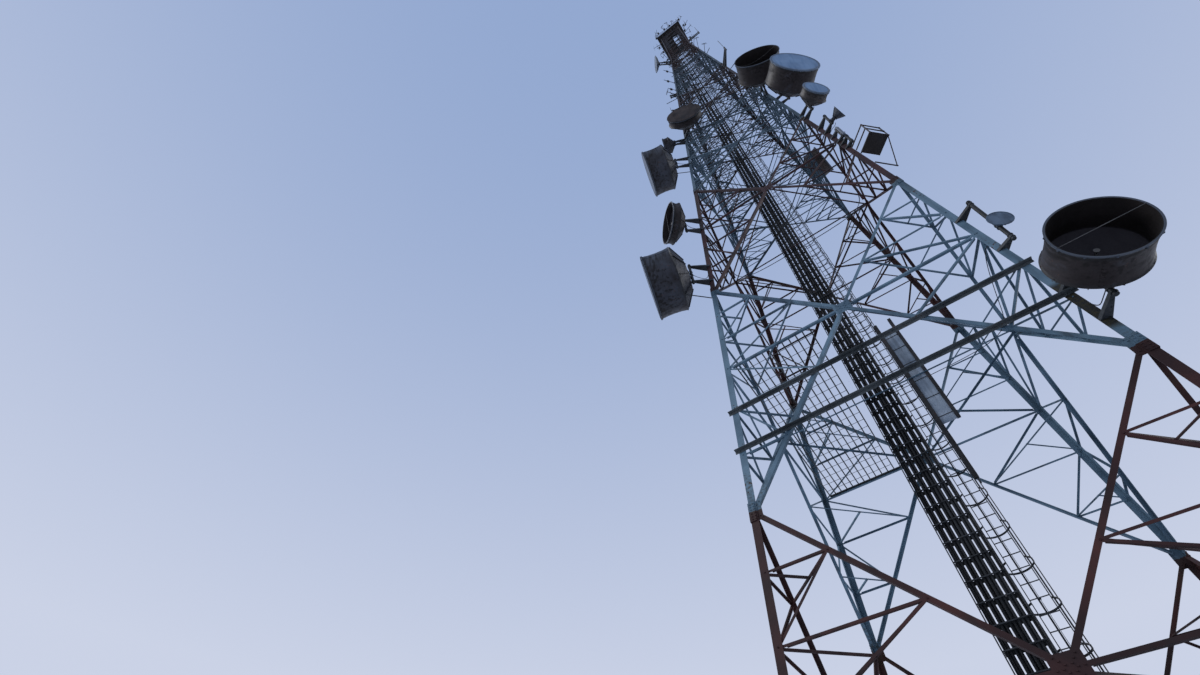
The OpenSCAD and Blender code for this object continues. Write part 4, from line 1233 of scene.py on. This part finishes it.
# Jumper cables
# From each hub a black cable runs down its arm, along the leg and the level angles, and
# on to the cable ladder. It is clipped to the steel all the way.
jumper_width = 0.0022
jumper_pitch = 0.0024
clip_gap = 0.0026
crossings = [(i, crossing(i, low, high)) for i, low, high in side_panels() if i < 3]
routes = []
for n, drum in enumerate(list(drums.values()) + [horn, case]):
    cx, cy = corners[drum.leg]
    i, level = min(crossings, key=lambda found: abs(found[1] - drum.height - 0.1))
    inset = flange_thick[i] + clip_gap + jumper_pitch * (n % 4)
    start = drum.height - 0.040
    over = level - 0.010 - jumper_pitch * (n % 3)
    side_x = middle + cx * (half_width(level) - flange[i] * 0.9 - jumper_pitch * (n % 4))
    route = [
        drum.own @ Vector((0.004, hub_radius * 0.7, -hub_radius * 0.5)),
        drum.own @ Vector((-0.004, hub_radius * 0.8, -hub_radius)),
        drum.pipe @ Vector((-0.006, 0.010, -0.036)),
        drum.heel.lerp(drum.pipe.translation, 0.4) - Vector((0, 0, 0.040))]
    route += [leg_corner(drum.leg, z, inset) for z in (start, start + (over - start) * 0.5, over)]
    route += [Vector((x, y, over)) for x, y in (
        (side_x, middle + cy * half_width(level) * 0.7),
        (side_x, middle + cy * half_width(level) * 0.3),
        (side_x, middle + 0.008),
        ((side_x + middle) / 2, middle + 0.010),
        (cable_x[n % cable_count], cable_high.y + 0.003))]
    routes.append(route)
tube("jumper_cables", routes, jumper_width, jacket)

# Small aerials near the head
# Short arms on the legs carry folded dipoles, whips and small boxes. They were bolted on
# as they were needed, so no two sit alike.
aerials = random.Random(7)
arm_count = 26
arm_thick = 0.0036
arm_legs = ["leg_front_left", "leg_front_left", "leg_front_right", "leg_back_left",
    "leg_back_right"]
shape = bmesh.new()
for k in range(arm_count):
    z = 5.25 + 3.45 * k / arm_count + aerials.uniform(-0.05, 0.05)
    leg = aerials.choice(arm_legs)
    cx, cy = corners[leg]
    heading = math.atan2(cy, cx) + aerials.uniform(-0.7, 0.7)
    length = aerials.uniform(0.060, 0.130)
    at = shift(*leg_corner(leg, z, -0.0006)) @ swing(heading, "Z")
    made = bmesh.new()
    block(made, at @ shift(length / 2, 0, 0), (length, arm_thick, arm_thick))
    block(made, at @ shift(0.0015, 0, 0), (0.0030, 0.012, 0.014))
    kind = k % 3
    if kind == 0:
        tall = aerials.uniform(0.06, 0.14)
        rod(made, at @ shift(length, 0, tall * 0.3), 0.0018, 0.0012, tall, 10)
    elif kind == 1:
        for dz in (-0.022, 0, 0.022):
            block(made, at @ shift(length - 0.004, 0, dz), (0.0016, 0.046, 0.0016))
        block(made, at @ shift(length - 0.004, 0, 0), (0.0024, 0.0024, 0.050))
    else:
        block(made, at @ shift(length * 0.6, 0, -0.012), (0.018, 0.012, 0.022))
        block(made, at @ shift(length * 0.6, 0, -0.0004), (0.020, 0.014, 0.0014))
    pour(made, shape)
keep("small_aerials", shape, box_paint)

# Aerials round the head
# More arms are clamped to the railing of the head platform, some with whips and some with
# dipoles, and they lean a little, each its own way.
rail_arms = 30
shape = bmesh.new()
for k in range(rail_arms):
    turn = 2 * math.pi * k / rail_arms + aerials.uniform(-0.1, 0.1)
    edge = platform_half / max(abs(math.cos(turn)), abs(math.sin(turn)))
    z = platform_low.z + aerials.uniform(0.030, 0.100)
    length = aerials.uniform(0.015, 0.075)
    tall = aerials.uniform(0.06, 0.20)
    at = (shift(middle + edge * math.cos(turn), middle + edge * math.sin(turn), z)
        @ swing(turn, "Z"))
    made = bmesh.new()
    block(made, at @ shift(length / 2 - 0.001, 0, 0), (length, arm_thick, arm_thick))
    mast = at @ shift(length, 0, 0) @ swing(aerials.uniform(-0.2, 0.2), "X")
    rod(made, mast @ shift(0, 0, tall * 0.25), 0.0022, 0.0014, tall, 10)
    if k % 2:
        for dz in (0.2, 0.35, 0.5):
            block(made, mast @ shift(0, 0, tall * dz), (0.0016, 0.040, 0.0016))
    else:
        block(made, at @ shift(length * 0.5, 0, -0.014), (0.016, 0.020, 0.026))
    pour(made, shape)
keep("head_aerials", shape, box_paint)

# Boxes and struts under the head platform
# Junction boxes, knee braces and cable trays crowd the frame below the platform. They are
# of painted steel, and are bolted to the head frame and to the platform's edge.
knee_wide = 0.0050
knees = (-0.085, -0.030, 0.030, 0.085)
hung = [((0.010, -head_half + 0.022, -0.080), (0.052, 0.020, 0.066)),
    ((-0.050, -head_half + 0.018, -0.140), (0.034, 0.016, 0.044)),
    ((0, -platform_half + 0.009, -0.0016), (2 * platform_half - 0.014, 0.012, 0.0030)),
    ((0, -0.060, -0.0040), (2 * head_half - 0.010, 0.010, 0.0070))]
shape = bmesh.new()
for side in range(4):
    turn = shift(middle, middle, 0) @ swing(side * quarter, "Z")
    made = bmesh.new()
    for x in knees:
        start = turn @ Vector((x, -head_half - 0.0014, platform_low.z - 0.075))
        end = turn @ Vector((x, -platform_half + 0.010, platform_low.z - 0.003))
        thin_angle(made, start, end, knee_wide, turn.to_3x3() @ Vector((0, -1, 0)))
    for (x, y, z), size in hung:
        block(made, turn @ shift(x, y, platform_low.z + z), size)
    pour(made, shape)
keep("head_boxes", shape, box_paint)

low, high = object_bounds()
{"cad": [list(cad_low), list(cad_high)], "visual": [list(low), list(high)]}
